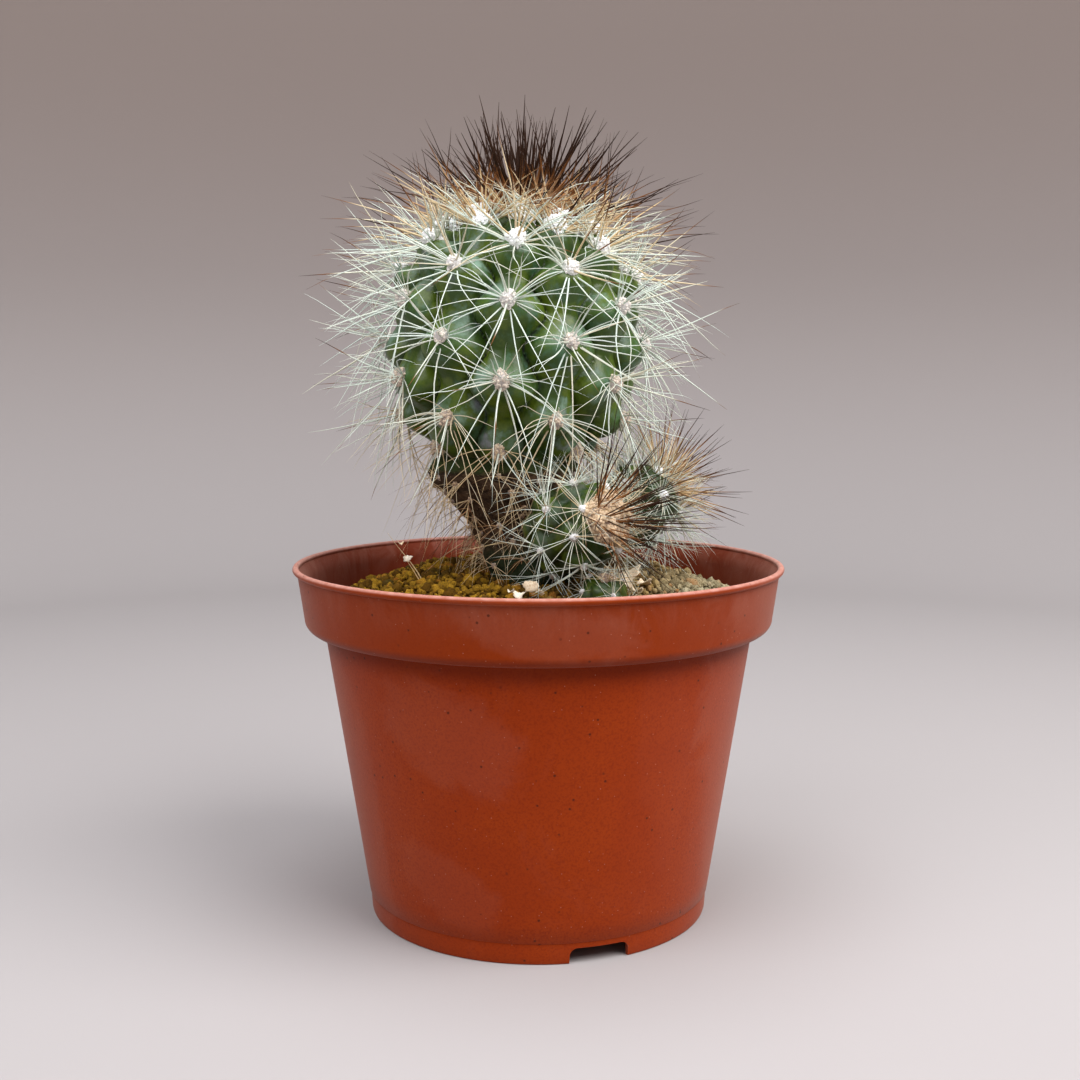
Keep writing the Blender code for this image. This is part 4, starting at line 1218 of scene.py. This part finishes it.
def wool_tree():
    """Small curls and stray hairs over the faces of a pad, which stays under them."""
    tree = Tree("wool", {"Curl": float, "Density": float, "Hair": float, "Seed": int})
    given = tree.given
    pad = tree.store(given["Geometry"], "tint", 0.0)
    spread = {"Mesh": pad, "Density": given["Density"], "Seed": given["Seed"]}
    points = tree.add("GeometryNodeDistributePointsOnFaces", spread)[0]
    ball = {"Radius": given["Curl"], "Subdivisions": 1}
    ball = tree.add("GeometryNodeMeshIcoSphere", ball)[0]
    size = tree.scaled(tree.random_vector(*ALMOST_ROUND, 11), tree.random(0.6, 1.35, 12))
    curls = tree.instances(points, ball, tree.random_vector(*ANY_TURN, 13), size)
    spread["Seed"] = tree.math("ADD", given["Seed"], 50)
    spread["Density"] = tree.math("MULTIPLY", given["Density"], HAIRS_PER_CURL)
    spread = tree.add("GeometryNodeDistributePointsOnFaces", spread)
    hair = {"Vertices": 3, "Radius Top": 0.0, "Depth": given["Hair"]}
    hair["Radius Bottom"] = tree.math("MULTIPLY", given["Curl"], 0.12)
    hair = tree.add("GeometryNodeMeshCone", hair)[0]
    turn = {0: spread["Rotation"], 1: tree.random_vector(-0.9, 0.9, 14)}
    turn = tree.add("FunctionNodeRotateRotation", turn, rotation_space="LOCAL")[0]
    long = tree.scaled((1.0, 1.0, 1.0), tree.random(0.5, 1.2, 15))
    both = tree.join(curls, tree.instances(spread["Points"], hair, turn, long))
    both = tree.store(both, "tint", tree.random(0.15, 1.0, 16), "INSTANCE")
    tree.close(tree.realized(tree.join(both, pad)))
    return tree


# Spines and wool: how a spine is planted, and how age shows at its areole

ROOT_SKIP = 1.3 * MM
PLANTING_TRIES = 10
LEAST_RUN = 0.45
STIFF_THICKNESS = 0.13 * MM
RADIAL_LEAN_SPREAD = 9.0
CENTRAL_TURN_SPREAD = 12.0
YOUNG_LEAN = math.radians(56)
YOUNG_REACH = 0.15
YOUNG_WARMTH = 1.05
AGED_WARMTH = 0.06
DYING_WARMTH = 0.38
DYING_THINNING = 0.35
CURL_SHARE = 0.20
DEAD_AREOLES = 84
DEAD_AREOLE_SPINES = 7
BUTTON_WIDTH = 0.94
BUTTON_LENGTH = 1.1
BUTTON_HEIGHT = 1.25
BUTTON_SINK = 0.25
HAIRS_PER_CURL = 0.25
FIRST_ROW = 0.75

# Felts, as (curls to a square metre, length of a stray hair)
HEAD_FELT = (4.2e6, 0.7 * MM)
CROWN_FELT = (4.5e6, 1.2 * MM)
TRUNK_FELT = (3e6, 0.8 * MM)

# How loosely spines are aimed and how far they sway, as (jitter, sway)
HEAD_LOOSENESS = (0.07, 0.022)
CROWN_LOOSENESS = (0.08, 0.006)
TRUNK_LOOSENESS = (0.12, 0.02)

# How a crown's spines stray, and how far the ceiling of their tips falls towards the front
STRAY_TURN = 0.22
STRAY_PLACE = 0.09
STRAY_TILT = 0.21
LEFT_CUT = 0.85
SHORTENING = 0.55
CEILING_SLOPE = 0.20


def needle_tree():
    """A tapered, bowed needle on every point, by the point's own aim, size and bow."""
    tree = Tree("needles", {"Sides": int, "Rings": int, "Taper": float})
    given = tree.given
    line = tree.add("GeometryNodeCurvePrimitiveLine", {"Start": (0, 0, 0), "End": (0, 0, 1)})[0]
    line = tree.add("GeometryNodeResampleCurve", {"Curve": line, "Count": given["Rings"]})[0]
    line = tree.store(line, "along", tree.add("GeometryNodeSplineParameter")["Factor"])
    thin = tree.math("POWER", tree.math("SUBTRACT", 1.03, tree.read("along")), given["Taper"])
    ring = {"Resolution": given["Sides"], "Radius": 1.0}
    ring = tree.add("GeometryNodeCurvePrimitiveCircle", ring)[0]
    needle = {"Curve": line, "Profile Curve": ring, "Scale": thin}
    needle = tree.add("GeometryNodeCurveToMesh", needle)[0]
    turn = {"Vector": tree.read("aim", "FLOAT_VECTOR")}
    turn = tree.add("FunctionNodeAlignRotationToVector", turn, axis="Z")[0]
    size = tree.read("size", "FLOAT_VECTOR")
    real = tree.realized(tree.instances(given["Geometry"], needle, turn, size))
    shares = {
        "bow": tree.math("POWER", tree.read("along"), 1.8),
        "sway": tree.math("SINE", tree.math("MULTIPLY", tree.read("along"), 1.6 * math.pi)),
    }
    for label, share in shares.items():
        real = tree.moved(real, tree.scaled(tree.read(label, "FLOAT_VECTOR"), share))
    tree.close(real)
    return tree


class Clearing:
    """The skins, soil, trunk and pot that no spine may run through."""

    def __init__(self, pieces):
        self.trees = []
        for piece in pieces:
            bm = bmesh.new()
            bm.from_mesh(piece.data)
            self.trees.append(BVHTree.FromBMesh(bm))
            bm.free()

    def free_run(self, start, aim, length):
        """How far the spine gets before it meets something, past its own root."""
        nearest = length
        for tree in self.trees:
            hit = tree.ray_cast(start + aim * ROOT_SKIP, aim, length - ROOT_SKIP)
            if hit[0] is not None:
                nearest = min(nearest, hit[3] + ROOT_SKIP)
        return nearest


def scatter(rng, spread):
    """A small random vector."""
    return Vector([rng.gauss(0.0, spread) for _ in range(3)])


class Bunch:
    """Spines of one piece: each is planted within its jitter until it runs clear."""

    def __init__(self, clearing, rng, jitter, sway):
        self.clearing = clearing
        self.rng = rng
        self.jitter = jitter
        self.sway = sway
        self.rows = []

    def clear_aim(self, root, aim, length):
        """(aim, free run) of the first try that runs clear, or else of the last."""
        for attempt in range(PLANTING_TRIES):
            spread = self.jitter * (1 + 0.25 * attempt)
            drawn = (aim + scatter(self.rng, spread)).normalized()
            run = self.clearing.free_run(root, drawn, length)
            if run >= length:
                break
        return drawn, run

    def plant(self, root, aim, length, thick, bow, warmth, dark_from):
        """One spine, cut short where it meets something and left out where it has no room."""
        rng = self.rng
        length *= rng.uniform(0.80, 1.08)
        drawn, run = self.clear_aim(root, aim, length)
        if run < LEAST_RUN * length:
            return
        if run < length:
            length = 0.94 * run
        bow = bow * rng.uniform(0.3, 1.6) + scatter(rng, 0.03)
        sway = scatter(rng, self.sway * min(1.0, (STIFF_THICKNESS / thick) ** 2))
        self.rows.append(
            {
                "root": root,
                "aim": drawn,
                "size": (thick, thick * rng.uniform(0.75, 1.0), length),
                "bow": bow * length,
                "sway": sway * length,
                "warmth": min(1.0, max(0.0, warmth + rng.gauss(0.0, 0.06))),
                "dark_from": dark_from + rng.gauss(0.0, 0.07),
                "tint": rng.random() ** 2,
            }
        )

    def grow(self, name, tree, finish, slot, *nodes, sides=4, taper=0.8):
        """The finished piece, with a needle on every root."""
        columns = {key: [row[key] for row in self.rows] for key in self.rows[0]}
        roots = columns.pop("root")
        spines = plain_mesh(name, roots, [], columns)
        tree.grow(spines, {"Sides": sides, "Rings": 7, "Taper": taper, "Material": finish})
        return finished(spines, slot, *nodes)


class Areole:
    """Where an areole sits on its head, its axes and its button's size, young or dying."""

    def __init__(self, head, place, style, rng):
        angle, length, self.row = place
        self.style = style
        self.rng = rng
        self.out, self.side, self.down = head.axes(angle, length)
        self.tip = Vector(head.points(np.array(angle), np.array(length)))
        self.youth = max(0.0, min(1.0, (style["old_row"] - self.row) / style["ageing"]))
        self.dying = max(0.0, min(1.0, self.row - style["dying_row"]))
        swell = 1 + style["swelling"] * math.exp((1 - self.row) / 1.1)
        self.size = style["button"] * swell * rng.uniform(0.92, 1.08)

    def directions(self, turn, lean):
        """(along the skin, along the spine), for a turn from downwards and a lean off the skin."""
        flat = self.down * math.cos(turn) + self.side * math.sin(turn)
        return flat, flat * math.cos(lean) + self.out * math.sin(lean)

    def add_button(self, pads):
        """The woolly button, a little wider down the rib than across it."""
        style, size = self.style, self.size
        facing = (self.out - self.down * style["nod"]).normalized()
        across = facing.cross(self.down).normalized()
        long = facing.cross(across) * BUTTON_LENGTH
        frame = Matrix((across * BUTTON_WIDTH, long, facing)).transposed()
        white = style["white"] - style["greying"] * (self.row - 1)
        white += self.rng.uniform(-0.08, 0.08)
        place = self.tip - facing * BUTTON_SINK * size
        pads.add(place, frame, size, BUTTON_HEIGHT * size, white, 0.25)

    def plant_radials(self, bunch):
        """Fans of spines round the button, more of them and standing higher while it is young."""
        rng, youth, dying = self.rng, self.youth, self.dying
        aged = AGED_WARMTH * max(0.0, self.row - 2.8)
        bow = self.out * -0.16
        for first, last, count, rise, reach, thick, droop in self.style["fans"]:
            sag = Vector((0, 0, -droop - 0.12 * max(0.0, self.row - 3) - 0.25 * dying))
            crowded = round(count * (1 + 0.5 * youth) * (1 - 0.5 * dying))
            reach *= 1 + YOUNG_REACH * youth
            thick *= 1 - DYING_THINNING * dying
            for step in range(crowded):
                share = (step + 0.5) / crowded + rng.uniform(-0.4, 0.4) / crowded
                lean = math.radians(rise + rng.gauss(0.0, RADIAL_LEAN_SPREAD))
                lean += (YOUNG_LEAN - lean) * 0.4 * youth
                flat, aim = self.directions(math.radians(first + (last - first) * share), lean)
                start = self.tip + flat * 0.90 * self.size - self.out * 0.05 * self.size
                warmth = self.style["warmth"] + YOUNG_WARMTH * youth**2 * rng.random() ** 1.2
                warmth += aged + DYING_WARMTH * dying
                dark_from = 1.25 - 0.50 * youth - 0.45 * youth * rng.random()
                bunch.plant(start, aim, reach, thick, bow + sag, warmth, dark_from)

    def plant_centrals(self, bunch):
        """A few stouter spines that stand out of the button, missing on a bare or dying one."""
        rng, style, youth = self.rng, self.style, self.youth
        for turn, rise, reach, thick in style["centrals"]:
            if rng.random() < style["bare"] + 0.7 * self.dying:
                continue
            turn = math.radians(turn + rng.gauss(0.0, CENTRAL_TURN_SPREAD))
            flat, aim = self.directions(turn, math.radians(rise))
            start = self.tip + flat * 0.45 * self.size + self.out * 0.45 * self.size
            warmth = style["warmth"] + 0.08 + 0.70 * youth
            dark_from = style["dark"] - 0.72 * youth - 0.60 * rng.random() ** 1.5
            reach *= 1 + YOUNG_REACH * youth
            bunch.plant(start, aim, reach, thick, self.out * -0.05, warmth, dark_from)


def apex_place(head, angle, radius, lift):
    """A point over the apex, at a distance from the axis."""
    radii, lengths = head.trace[:APEX_STEPS, 0], head.lengths[:APEX_STEPS]
    z = float(head.outline(np.interp(radius, radii, lengths))[1])
    flat = Vector((math.sin(angle) * radius, -math.cos(angle) * radius, z + lift))
    return head.centre + head.frame @ flat


def crown_wool(pads, rng, head, crown):
    """Lobes of wool over the apex, spaced like the seeds of a sunflower."""
    for number in range(crown["lobes"]):
        share = math.sqrt((number + 0.5) / crown["lobes"])
        radius = crown["radius"] * 0.80 * share
        place = apex_place(head, number * GOLDEN_ANGLE + 0.6, radius, 0.0)
        size = crown["lobe"] * rng.uniform(0.85, 1.15)
        pads.add(place, head.frame, size, 0.85 * size, crown["white"], 0.35, 14, 5)


def crown_spine(bunch, head, crown, middle, share):
    """One young spine, leaning further out the nearer the tuft's edge it stands."""
    rng = bunch.rng
    angle = middle + rng.gauss(0.0, STRAY_TURN)
    radius = crown["radius"] * 0.95 * max(0.0, share + rng.gauss(0.0, STRAY_PLACE))
    root = apex_place(head, angle, radius, 0.3 * crown["lobe"])
    tilt = crown["lean"] * share**crown["spread"] + rng.gauss(0.0, STRAY_TILT)
    swing = angle + rng.gauss(0.0, crown["swing"])
    out = Vector((math.sin(swing), -math.cos(swing), 0.0))
    aim = head.frame @ (out * math.sin(tilt) + Vector((0, 0, math.cos(tilt))))
    aim = (aim + crown["sweep"]).normalized()
    if aim.x < crown["leftmost"] and rng.random() < LEFT_CUT:
        return
    length = crown["length"] * (1 - crown["flat_top"] * (0.7 - share))
    length *= 1.06 - SHORTENING * rng.random() ** 1.6
    ceiling = crown["ceiling"] + CEILING_SLOPE * min(0.0, root.y + length * aim.y)
    length = min(length, (ceiling - root.z) / max(aim.z, 0.2))
    bow = head.frame @ Vector((0, 0, 0.03))
    warmth = crown["warmth"] + rng.uniform(-0.15, 0.1)
    dark_from = crown["dark"] + 0.20 * share
    bunch.plant(root, aim, length, crown["thick"], bow, warmth, dark_from)


def plant_crown(bunch, pads, head, crown):
    """The young tuft at an apex: its wool, and clusters of spines."""
    crown_wool(pads, bunch.rng, head, crown)
    for number in range(crown["clusters"]):
        share = math.sqrt((number + 0.5) / crown["clusters"])
        for _ in range(crown["each"]):
            crown_spine(bunch, head, crown, number * GOLDEN_ANGLE, share)


# Areoles and crowns. Turns are in degrees from downwards, and rises in degrees off the skin.
# Fans, as (first turn, last turn, count, rise, length, thickness, droop)
# Centrals, as (turn, rise, length, thickness)

MAIN_AREOLE = {
    "button": 1.28 * MM,
    "swelling": 0.85,
    "nod": 0.10,
    "white": 1.05,
    "greying": 0.21,
    "old_row": 2.9,
    "dying_row": 4.2,
    "ageing": 2.0,
    "warmth": 0.02,
    "dark": 1.12,
    "bare": 0.05,
    "looseness": 1.0,
    "fans": [
        (-44, 44, 4, 26, 19.5 * MM, 0.165 * MM, 0.0),
        (60, 130, 7, 34, 16.2 * MM, 0.130 * MM, 0.14),
        (-130, -60, 7, 34, 16.2 * MM, 0.130 * MM, 0.14),
        (148, 212, 3, 42, 11.0 * MM, 0.09 * MM, 0.05),
    ],
    "centrals": [
        (5, 58, 17.0 * MM, 0.20 * MM),
        (-168, 64, 16.5 * MM, 0.18 * MM),
        (98, 60, 15.5 * MM, 0.165 * MM),
        (-92, 58, 15.5 * MM, 0.165 * MM),
        (150, 70, 15.0 * MM, 0.15 * MM),
    ],
}
OFFSET_AREOLE = {
    "button": 0.58 * MM,
    "swelling": 0.35,
    "nod": 0.0,
    "white": 0.80,
    "greying": 0.10,
    "old_row": 2.2,
    "dying_row": 9.0,
    "ageing": 2.2,
    "warmth": 0.06,
    "dark": 1.0,
    "bare": 0.3,
    "looseness": 0.4,
    "fans": [
        (-70, 70, 6, 28, 10.0 * MM, 0.085 * MM, 0.03),
        (75, 180, 6, 30, 8.5 * MM, 0.075 * MM, 0.05),
        (-180, -75, 6, 30, 8.5 * MM, 0.075 * MM, 0.05),
    ],
    "centrals": [(170, 60, 9.5 * MM, 0.10 * MM)],
}
BACK_AREOLE = {
    **OFFSET_AREOLE,
    "button": 0.72 * MM,
    "white": 1.0,
    "warmth": 0.06,
    "looseness": 0.8,
    "fans": [
        (-180, 0, 13, 36, 10.5 * MM, 0.085 * MM, 0.03),
        (0, 180, 13, 36, 10.5 * MM, 0.085 * MM, 0.03),
    ],
    "centrals": [(170, 60, 10.5 * MM, 0.10 * MM), (20, 64, 10.5 * MM, 0.10 * MM)],
}
TINY_AREOLE = {
    **OFFSET_AREOLE,
    "button": 0.36 * MM,
    "fans": [(-180, 180, 8, 30, 4.4 * MM, 0.055 * MM, 0.0)],
    "centrals": [],
}
NO_CEILING = 1.0
MAIN_TUFT = {
    "radius": 6.0 * MM,
    "lobes": 22,
    "lobe": 1.7 * MM,
    "white": 1.0,
    "clusters": 22,
    "each": 7,
    "length": 18.8 * MM,
    "ceiling": 138.9 * MM,
    "flat_top": 0.34,
    "swing": 0.40,
    "thick": 0.262 * MM,
    "leftmost": -1.0,
    "lean": math.radians(60),
    "spread": 1.75,
    "sweep": Vector((0.0, 0.0, 0.0)),
    "dark": 0.16,
    "warmth": 0.80,
}
FRONT_TUFT = {
    "radius": 4.0 * MM,
    "lobes": 15,
    "lobe": 1.75 * MM,
    "white": 0.10,
    "clusters": 16,
    "each": 5,
    "leftmost": 0.05,
    "length": 14.4 * MM,
    "ceiling": NO_CEILING,
    "flat_top": 0.05,
    "swing": 0.12,
    "thick": 0.135 * MM,
    "lean": math.radians(82),
    "spread": 1.0,
    "sweep": Vector((0.45, 0.15, 0.1)),
    "dark": 0.08,
    "warmth": 0.85,
}
BACK_TUFT = {
    **FRONT_TUFT,
    "radius": 3.6 * MM,
    "lobe": 1.2 * MM,
    "clusters": 18,
    "each": 5,
    "length": 13.2 * MM,
    "leftmost": -0.35,
    "lean": math.radians(80),
    "sweep": Vector((0.15, 0.0, 0.1)),
    "dark": 0.50,
    "warmth": 0.66,
}
SMALL_TUFT = {
    **FRONT_TUFT,
    "radius": 1.3 * MM,
    "lobes": 5,
    "lobe": 0.7 * MM,
    "clusters": 4,
    "each": 4,
    "leftmost": -1.0,
    "length": 5.5 * MM,
    "thick": 0.08 * MM,
    "sweep": Vector((0.0, 0.0, 0.0)),
    "dark": 0.5,
    "warmth": 0.5,
}


def make_head_spines(name, head, style, clearing, trees, finishes, last_share, seed):
    """The areoles of one head: one piece of wool and one of spines."""
    rng = random.Random(seed)
    jitter, sway = HEAD_LOOSENESS
    pads, bunch = Pads(), Bunch(clearing, rng, jitter, sway * style["looseness"])
    for place in head.areoles(FIRST_ROW, last_share):
        areole = Areole(head, place, style, rng)
        areole.add_button(pads)
        areole.plant_radials(bunch)
        areole.plant_centrals(bunch)
    curl = CURL_SHARE * style["button"]
    pads.grow(f"{name}_wool", trees["wool"], finishes["wool"], curl, *HEAD_FELT, seed)
    bunch.grow(f"{name}_spines", trees["needles"], finishes["horn"], "pale_spines")


def make_crown(name, head, tuft, clearing, trees, finishes, seed, *nodes):
    """The tuft of one head: one piece of wool and one of spines."""
    pads, bunch = Pads(), Bunch(clearing, random.Random(seed), *CROWN_LOOSENESS)
    plant_crown(bunch, pads, head, tuft)
    curl = CURL_SHARE * tuft["lobe"]
    pads.grow(f"{name}_wool", trees["wool"], finishes["wool"], curl, *CROWN_FELT, seed)
    look = {"sides": 5, "taper": 0.62}
    bunch.grow(f"{name}_spines", trees["needles"], finishes["horn"], "dark_spines", *nodes, **look)


def plant_dead_areole(bunch, pads, angle, z):
    """A little old wool on the bark, with brown spines that point any way and sag."""
    rng = bunch.rng
    tip = trunk_point(angle, z, 0.1 * MM)
    out = Vector((math.cos(angle), math.sin(angle), 0.0))
    side = Vector((-math.sin(angle), math.cos(angle), 0.0))
    frame = Matrix((side, out.cross(side), out)).transposed()
    size = rng.uniform(0.4, 0.7) * MM
    pads.add(tip, frame, size, 0.8 * size, rng.uniform(0.0, 0.25), 0.3)
    old = rng.random()
    bow = Vector((0, 0, -0.50)) - out * 0.12
    for _ in range(DEAD_AREOLE_SPINES):
        flat = side * rng.gauss(0.0, 1.0) + Vector((0, 0, rng.gauss(-0.35, 0.7)))
        aim = (flat.normalized() + out * rng.uniform(0.3, 1.0)).normalized()
        reach = rng.uniform(6.0, 13.5) * MM
        thick = rng.uniform(0.050, 0.080) * MM
        warmth, dark_from = 0.35 + 0.45 * old, 0.95 - 0.6 * old
        bunch.plant(tip + out * 0.3 * MM, aim, reach, thick, bow, warmth, dark_from)


def make_trunk_spines(clearing, trees, finishes):
    """The dead areoles down the stem: one piece of wool and one of spines."""
    rng = random.Random(31)
    pads, bunch = Pads(), Bunch(clearing, rng, *TRUNK_LOOSENESS)
    for number in range(DEAD_AREOLES):
        z = (60.0 + 17.0 * ((number + 0.5) / DEAD_AREOLES)) * MM
        plant_dead_areole(bunch, pads, number * GOLDEN_ANGLE + rng.uniform(-0.3, 0.3), z)
    pads.grow("trunk_wool", trees["wool"], finishes["wool"], 0.16 * MM, *TRUNK_FELT, 5)
    bunch.grow("trunk_spines", trees["needles"], finishes["horn"], "pale_spines")


# Petal scraps

FLAT = math.radians(14)
STEEP = math.radians(40)
UPRIGHT = math.radians(68)
SCRAP_THICKNESS = 0.05 * MM
SCRAP_NARROWNESS = 0.72
STALK_ROOT = (-19.0, -8.0, 57.0)
STALK_TIPS = ((-23.1, -8.0, 65.2), (-22.2, -8.1, 62.9))


def scrap_point(size, curl, share, angle):
    """A point on a scrap before it is turned: frayed at the edge, curled and ruffled."""
    across, up = math.cos(angle), math.sin(angle)
    fray = noise.noise(Vector((across * 2.2, up * 2.2, size * 3e3)))
    nick = noise.noise(Vector((across * 7, up * 7, size * 5e3)))
    radius = size * share * (1 + (0.38 * fray + 0.22 * nick) * share**2)
    x, y = radius * across, SCRAP_NARROWNESS * radius * up
    z = curl * x * x / size - 0.6 * curl * y * y / size
    z += 0.20 * size * share * noise.noise(Vector((x, y, 0.3)) / (0.55 * size))
    return x, y, z


def merged(piece, distance):
    """The piece with its doubled points joined."""
    bm = bmesh.new()
    bm.from_mesh(piece.data)
    bmesh.ops.remove_doubles(bm, verts=bm.verts, dist=distance)
    bm.to_mesh(piece.data)
    bm.free()
    return piece


def make_scrap(name, finish, place, turn, tilt, size, curl, tint, *nodes):
    """A dry flower scrap: a thin curled flake with a frayed, ruffled edge."""
    rings, around = 7, 32
    matrix = Matrix.Rotation(turn, 3, "Z") @ Matrix.Rotation(tilt, 3, "X")
    upper, lower = [], []
    for ring in range(rings + 1):
        for step in range(around):
            x, y, z = scrap_point(size, curl, ring / rings, 2 * math.pi * step / around)
            for points, lift in ((upper, SCRAP_THICKNESS), (lower, -SCRAP_THICKNESS)):
                points.append(place + matrix @ Vector((x, y, z + lift)))
    count, edge = len(upper), rings * around
    faces = ring_faces(rings, around)
    faces += [tuple(count + corner for corner in reversed(face)) for face in faces]
    for step in range(around):
        here, after = edge + step, edge + (step + 1) % around
        faces.append((here, count + here, count + after, after))
    scrap = plain_mesh(name, upper + lower, faces, {"tint": np.full(2 * count, tint)})
    merged(scrap, 0.002 * MM).data.materials.append(finish)
    return finished(scrap, "dry_petal", *nodes)


# Scraps, as (place in mm, turn, tilt, size in mm, curl, tint, node)
SCRAPS = (
    ((-1.2, -22.6, 60.0), 0.2, UPRIGHT, 1.35, 0.5, 0.1, "petal_scrap_1"),
    ((-2.9, -24.6, 58.9), -0.4, STEEP, 0.9, 0.6, 0.9, "petal_scrap_2"),
    ((0.2, -23.0, 59.0), 1.9, STEEP, 0.7, 0.8, 0.3),
    ((-4.4, -23.6, 59.3), 2.6, FLAT, 0.6, 0.7, 0.7),
    ((-23.3, -8.0, 65.2), 0.3, FLAT, 0.55, 0.9, 0.0),
    ((-22.3, -8.0, 62.6), 0.4, UPRIGHT, 0.75, 0.6, 1.0),
    ((14.2, -13.0, 59.9), 0.7, STEEP, 2.1, 0.9, 0.3),
    ((17.6, -12.4, 58.9), 2.1, FLAT, 1.4, 0.6, 0.2),
    ((12.2, -14.6, 59.6), 1.2, UPRIGHT, 1.2, 0.7, 0.4),
    ((16.0, -19.0, 58.8), 2.6, FLAT, 1.0, 0.6, 0.2),
)


def make_scraps():
    """Four scraps in front of the stem, two on stalks at the left, and four at the right."""
    paper = dry_petal()
    for number, (place, turn, tilt, size, curl, tint, *nodes) in enumerate(SCRAPS, 1):
        place = Vector(place) * MM
        make_scrap(f"scrap_{number}", paper, place, turn, tilt, size * MM, curl, tint, *nodes)


def make_flake_stems(clearing, trees, finishes):
    """The dead stalks that two dry flakes hang on, out of the soil at the left."""
    bunch = Bunch(clearing, random.Random(5), 0.0, 0.02)
    root = Vector(STALK_ROOT) * MM
    bow = Vector((-0.10, 0.0, 0.05))
    for tip in STALK_TIPS:
        reach = Vector(tip) * MM - root
        bunch.plant(root, reach.normalized(), reach.length * 1.15, 0.11 * MM, bow, 0.55, 1.2)
    bunch.grow("flake_stems", trees["needles"], finishes["horn"], "pale_spines", taper=0.5)


# Stage


def make_stage():
    """A pale floor that turns up into a round wall, so that any view has a plain pale ground."""
    around, curve_steps, edge = 96, 12, FLOOR_RADII[-1]
    profile = [(radius, 0.0) for radius in FLOOR_RADII]
    for step in range(1, curve_steps + 1):
        turn = math.pi / 2 * step / curve_steps
        rise = FLOOR_CURVE - FLOOR_CURVE * math.cos(turn)
        profile.append((edge + FLOOR_CURVE * math.sin(turn), rise))
    profile.append(STAGE_WALL)
    points = [(0.0, 0.0, 0.0)]
    for radius, z in profile:
        points += [(x, y, z) for x, y in circle(radius, around)]
    faces = fan(0, 1, around) + ring_faces(len(profile) - 1, around, 1)
    floor = plain_mesh("stage_floor", points, faces)
    floor.data.materials.append(pale_stage())


def make_light(name, place, size, power, colour):
    """A soft round light, aimed at the middle of the plant."""
    data = bpy.data.lights.new(name, "AREA")
    data.shape = "DISK"
    data.size = size
    data.energy = power
    data.color = colour
    light = linked(name, data)
    light.location = place
    aim = Vector(LIGHT_AIM) - Vector(place)
    light.rotation_euler = aim.to_track_quat("-Z", "Y").to_euler()


def make_lights():
    """Soft light from overhead, stronger from the right, with a weak fill from the left."""
    for light in LIGHTS:
        make_light(*light)
    world = bpy.data.worlds.new("room")
    world.use_nodes = True
    background = world.node_tree.nodes["Background"]
    background.inputs["Color"].default_value = (*ROOM_COLOUR, 1.0)
    background.inputs["Strength"].default_value = ROOM_LIGHT
    bpy.context.scene.world = world


def make_camera():
    """The view of the photograph."""
    data = bpy.data.cameras.new("photo_view")
    data.lens = CAMERA_LENS
    data.sensor_width = CAMERA_SENSOR
    camera = linked("photo_view", data)
    camera.location = CAMERA_PLACE
    camera.rotation_euler = (math.pi / 2 - CAMERA_DIP, 0.0, 0.0)
    bpy.context.scene.camera = camera


def young_head(shape):
    """An offset's head, on its own leaning axis."""
    return Head(shape, shape["axis"].to_track_quat("Z", "Y").to_matrix())


# Build

main = Head(MAIN_HEAD, Matrix.Rotation(HEAD_TILT, 3, "Y"))
front, back, small = (young_head(shape) for shape in (FRONT_OFFSET, BACK_OFFSET, SMALL_OFFSET))
old_skin = green_skin("old green skin", OLD_GREENS)
# The offsets' skin is darker than the main head's, partly as painted shade
shaded_young_skin = green_skin("young green skin with painted shade", YOUNG_GREENS_WITH_SHADE)
grit = mineral_grit()

solid = [make_pot(), make_soil_bed(grit), make_trunk()]
solid.append(make_skin("main_skin", main, old_skin, "main_head"))
solid.append(make_skin("front_skin", front, shaded_young_skin, "front_offset"))
solid.append(make_skin("back_skin", back, shaded_young_skin, "back_offset"))
solid.append(make_skin("small_skin", small, shaded_young_skin, "small_offset"))

grains = grain_tree()
coarse = {"Spacing": 1.18 * MM, "Size": 0.70 * MM, "Lump": 1.7 * MM, "Detail": 2}
fine = {"Spacing": 0.77 * MM, "Size": 0.40 * MM, "Lump": 0.6 * MM, "Detail": 1}
make_grains("coarse_grit", grains, grit, 3, **coarse)
make_grains("fine_grit", grains, grit, 7, **fine)

tools = (
    Clearing(solid),
    {"wool": wool_tree(), "needles": needle_tree()},
    {"wool": areole_wool(), "horn": spine_horn()},
)
make_head_spines("main", main, MAIN_AREOLE, *tools, 0.93, 1)
make_head_spines("front", front, OFFSET_AREOLE, *tools, 0.75, 2)
make_head_spines("back", back, BACK_AREOLE, *tools, 0.75, 3)
make_head_spines("small", small, TINY_AREOLE, *tools, 0.45, 4)
make_crown("main_crown", main, MAIN_TUFT, *tools, 11, "main_crown")
make_crown("front_crown", front, FRONT_TUFT, *tools, 12, "front_crown")
make_crown("back_crown", back, BACK_TUFT, *tools, 13, "back_crown")
make_crown("small_crown", small, SMALL_TUFT, *tools, 14)
make_trunk_spines(*tools)
make_scraps()
make_flake_stems(*tools)

make_stage()
make_lights()
make_camera()
bpy.context.scene.view_settings.view_transform = "Standard"
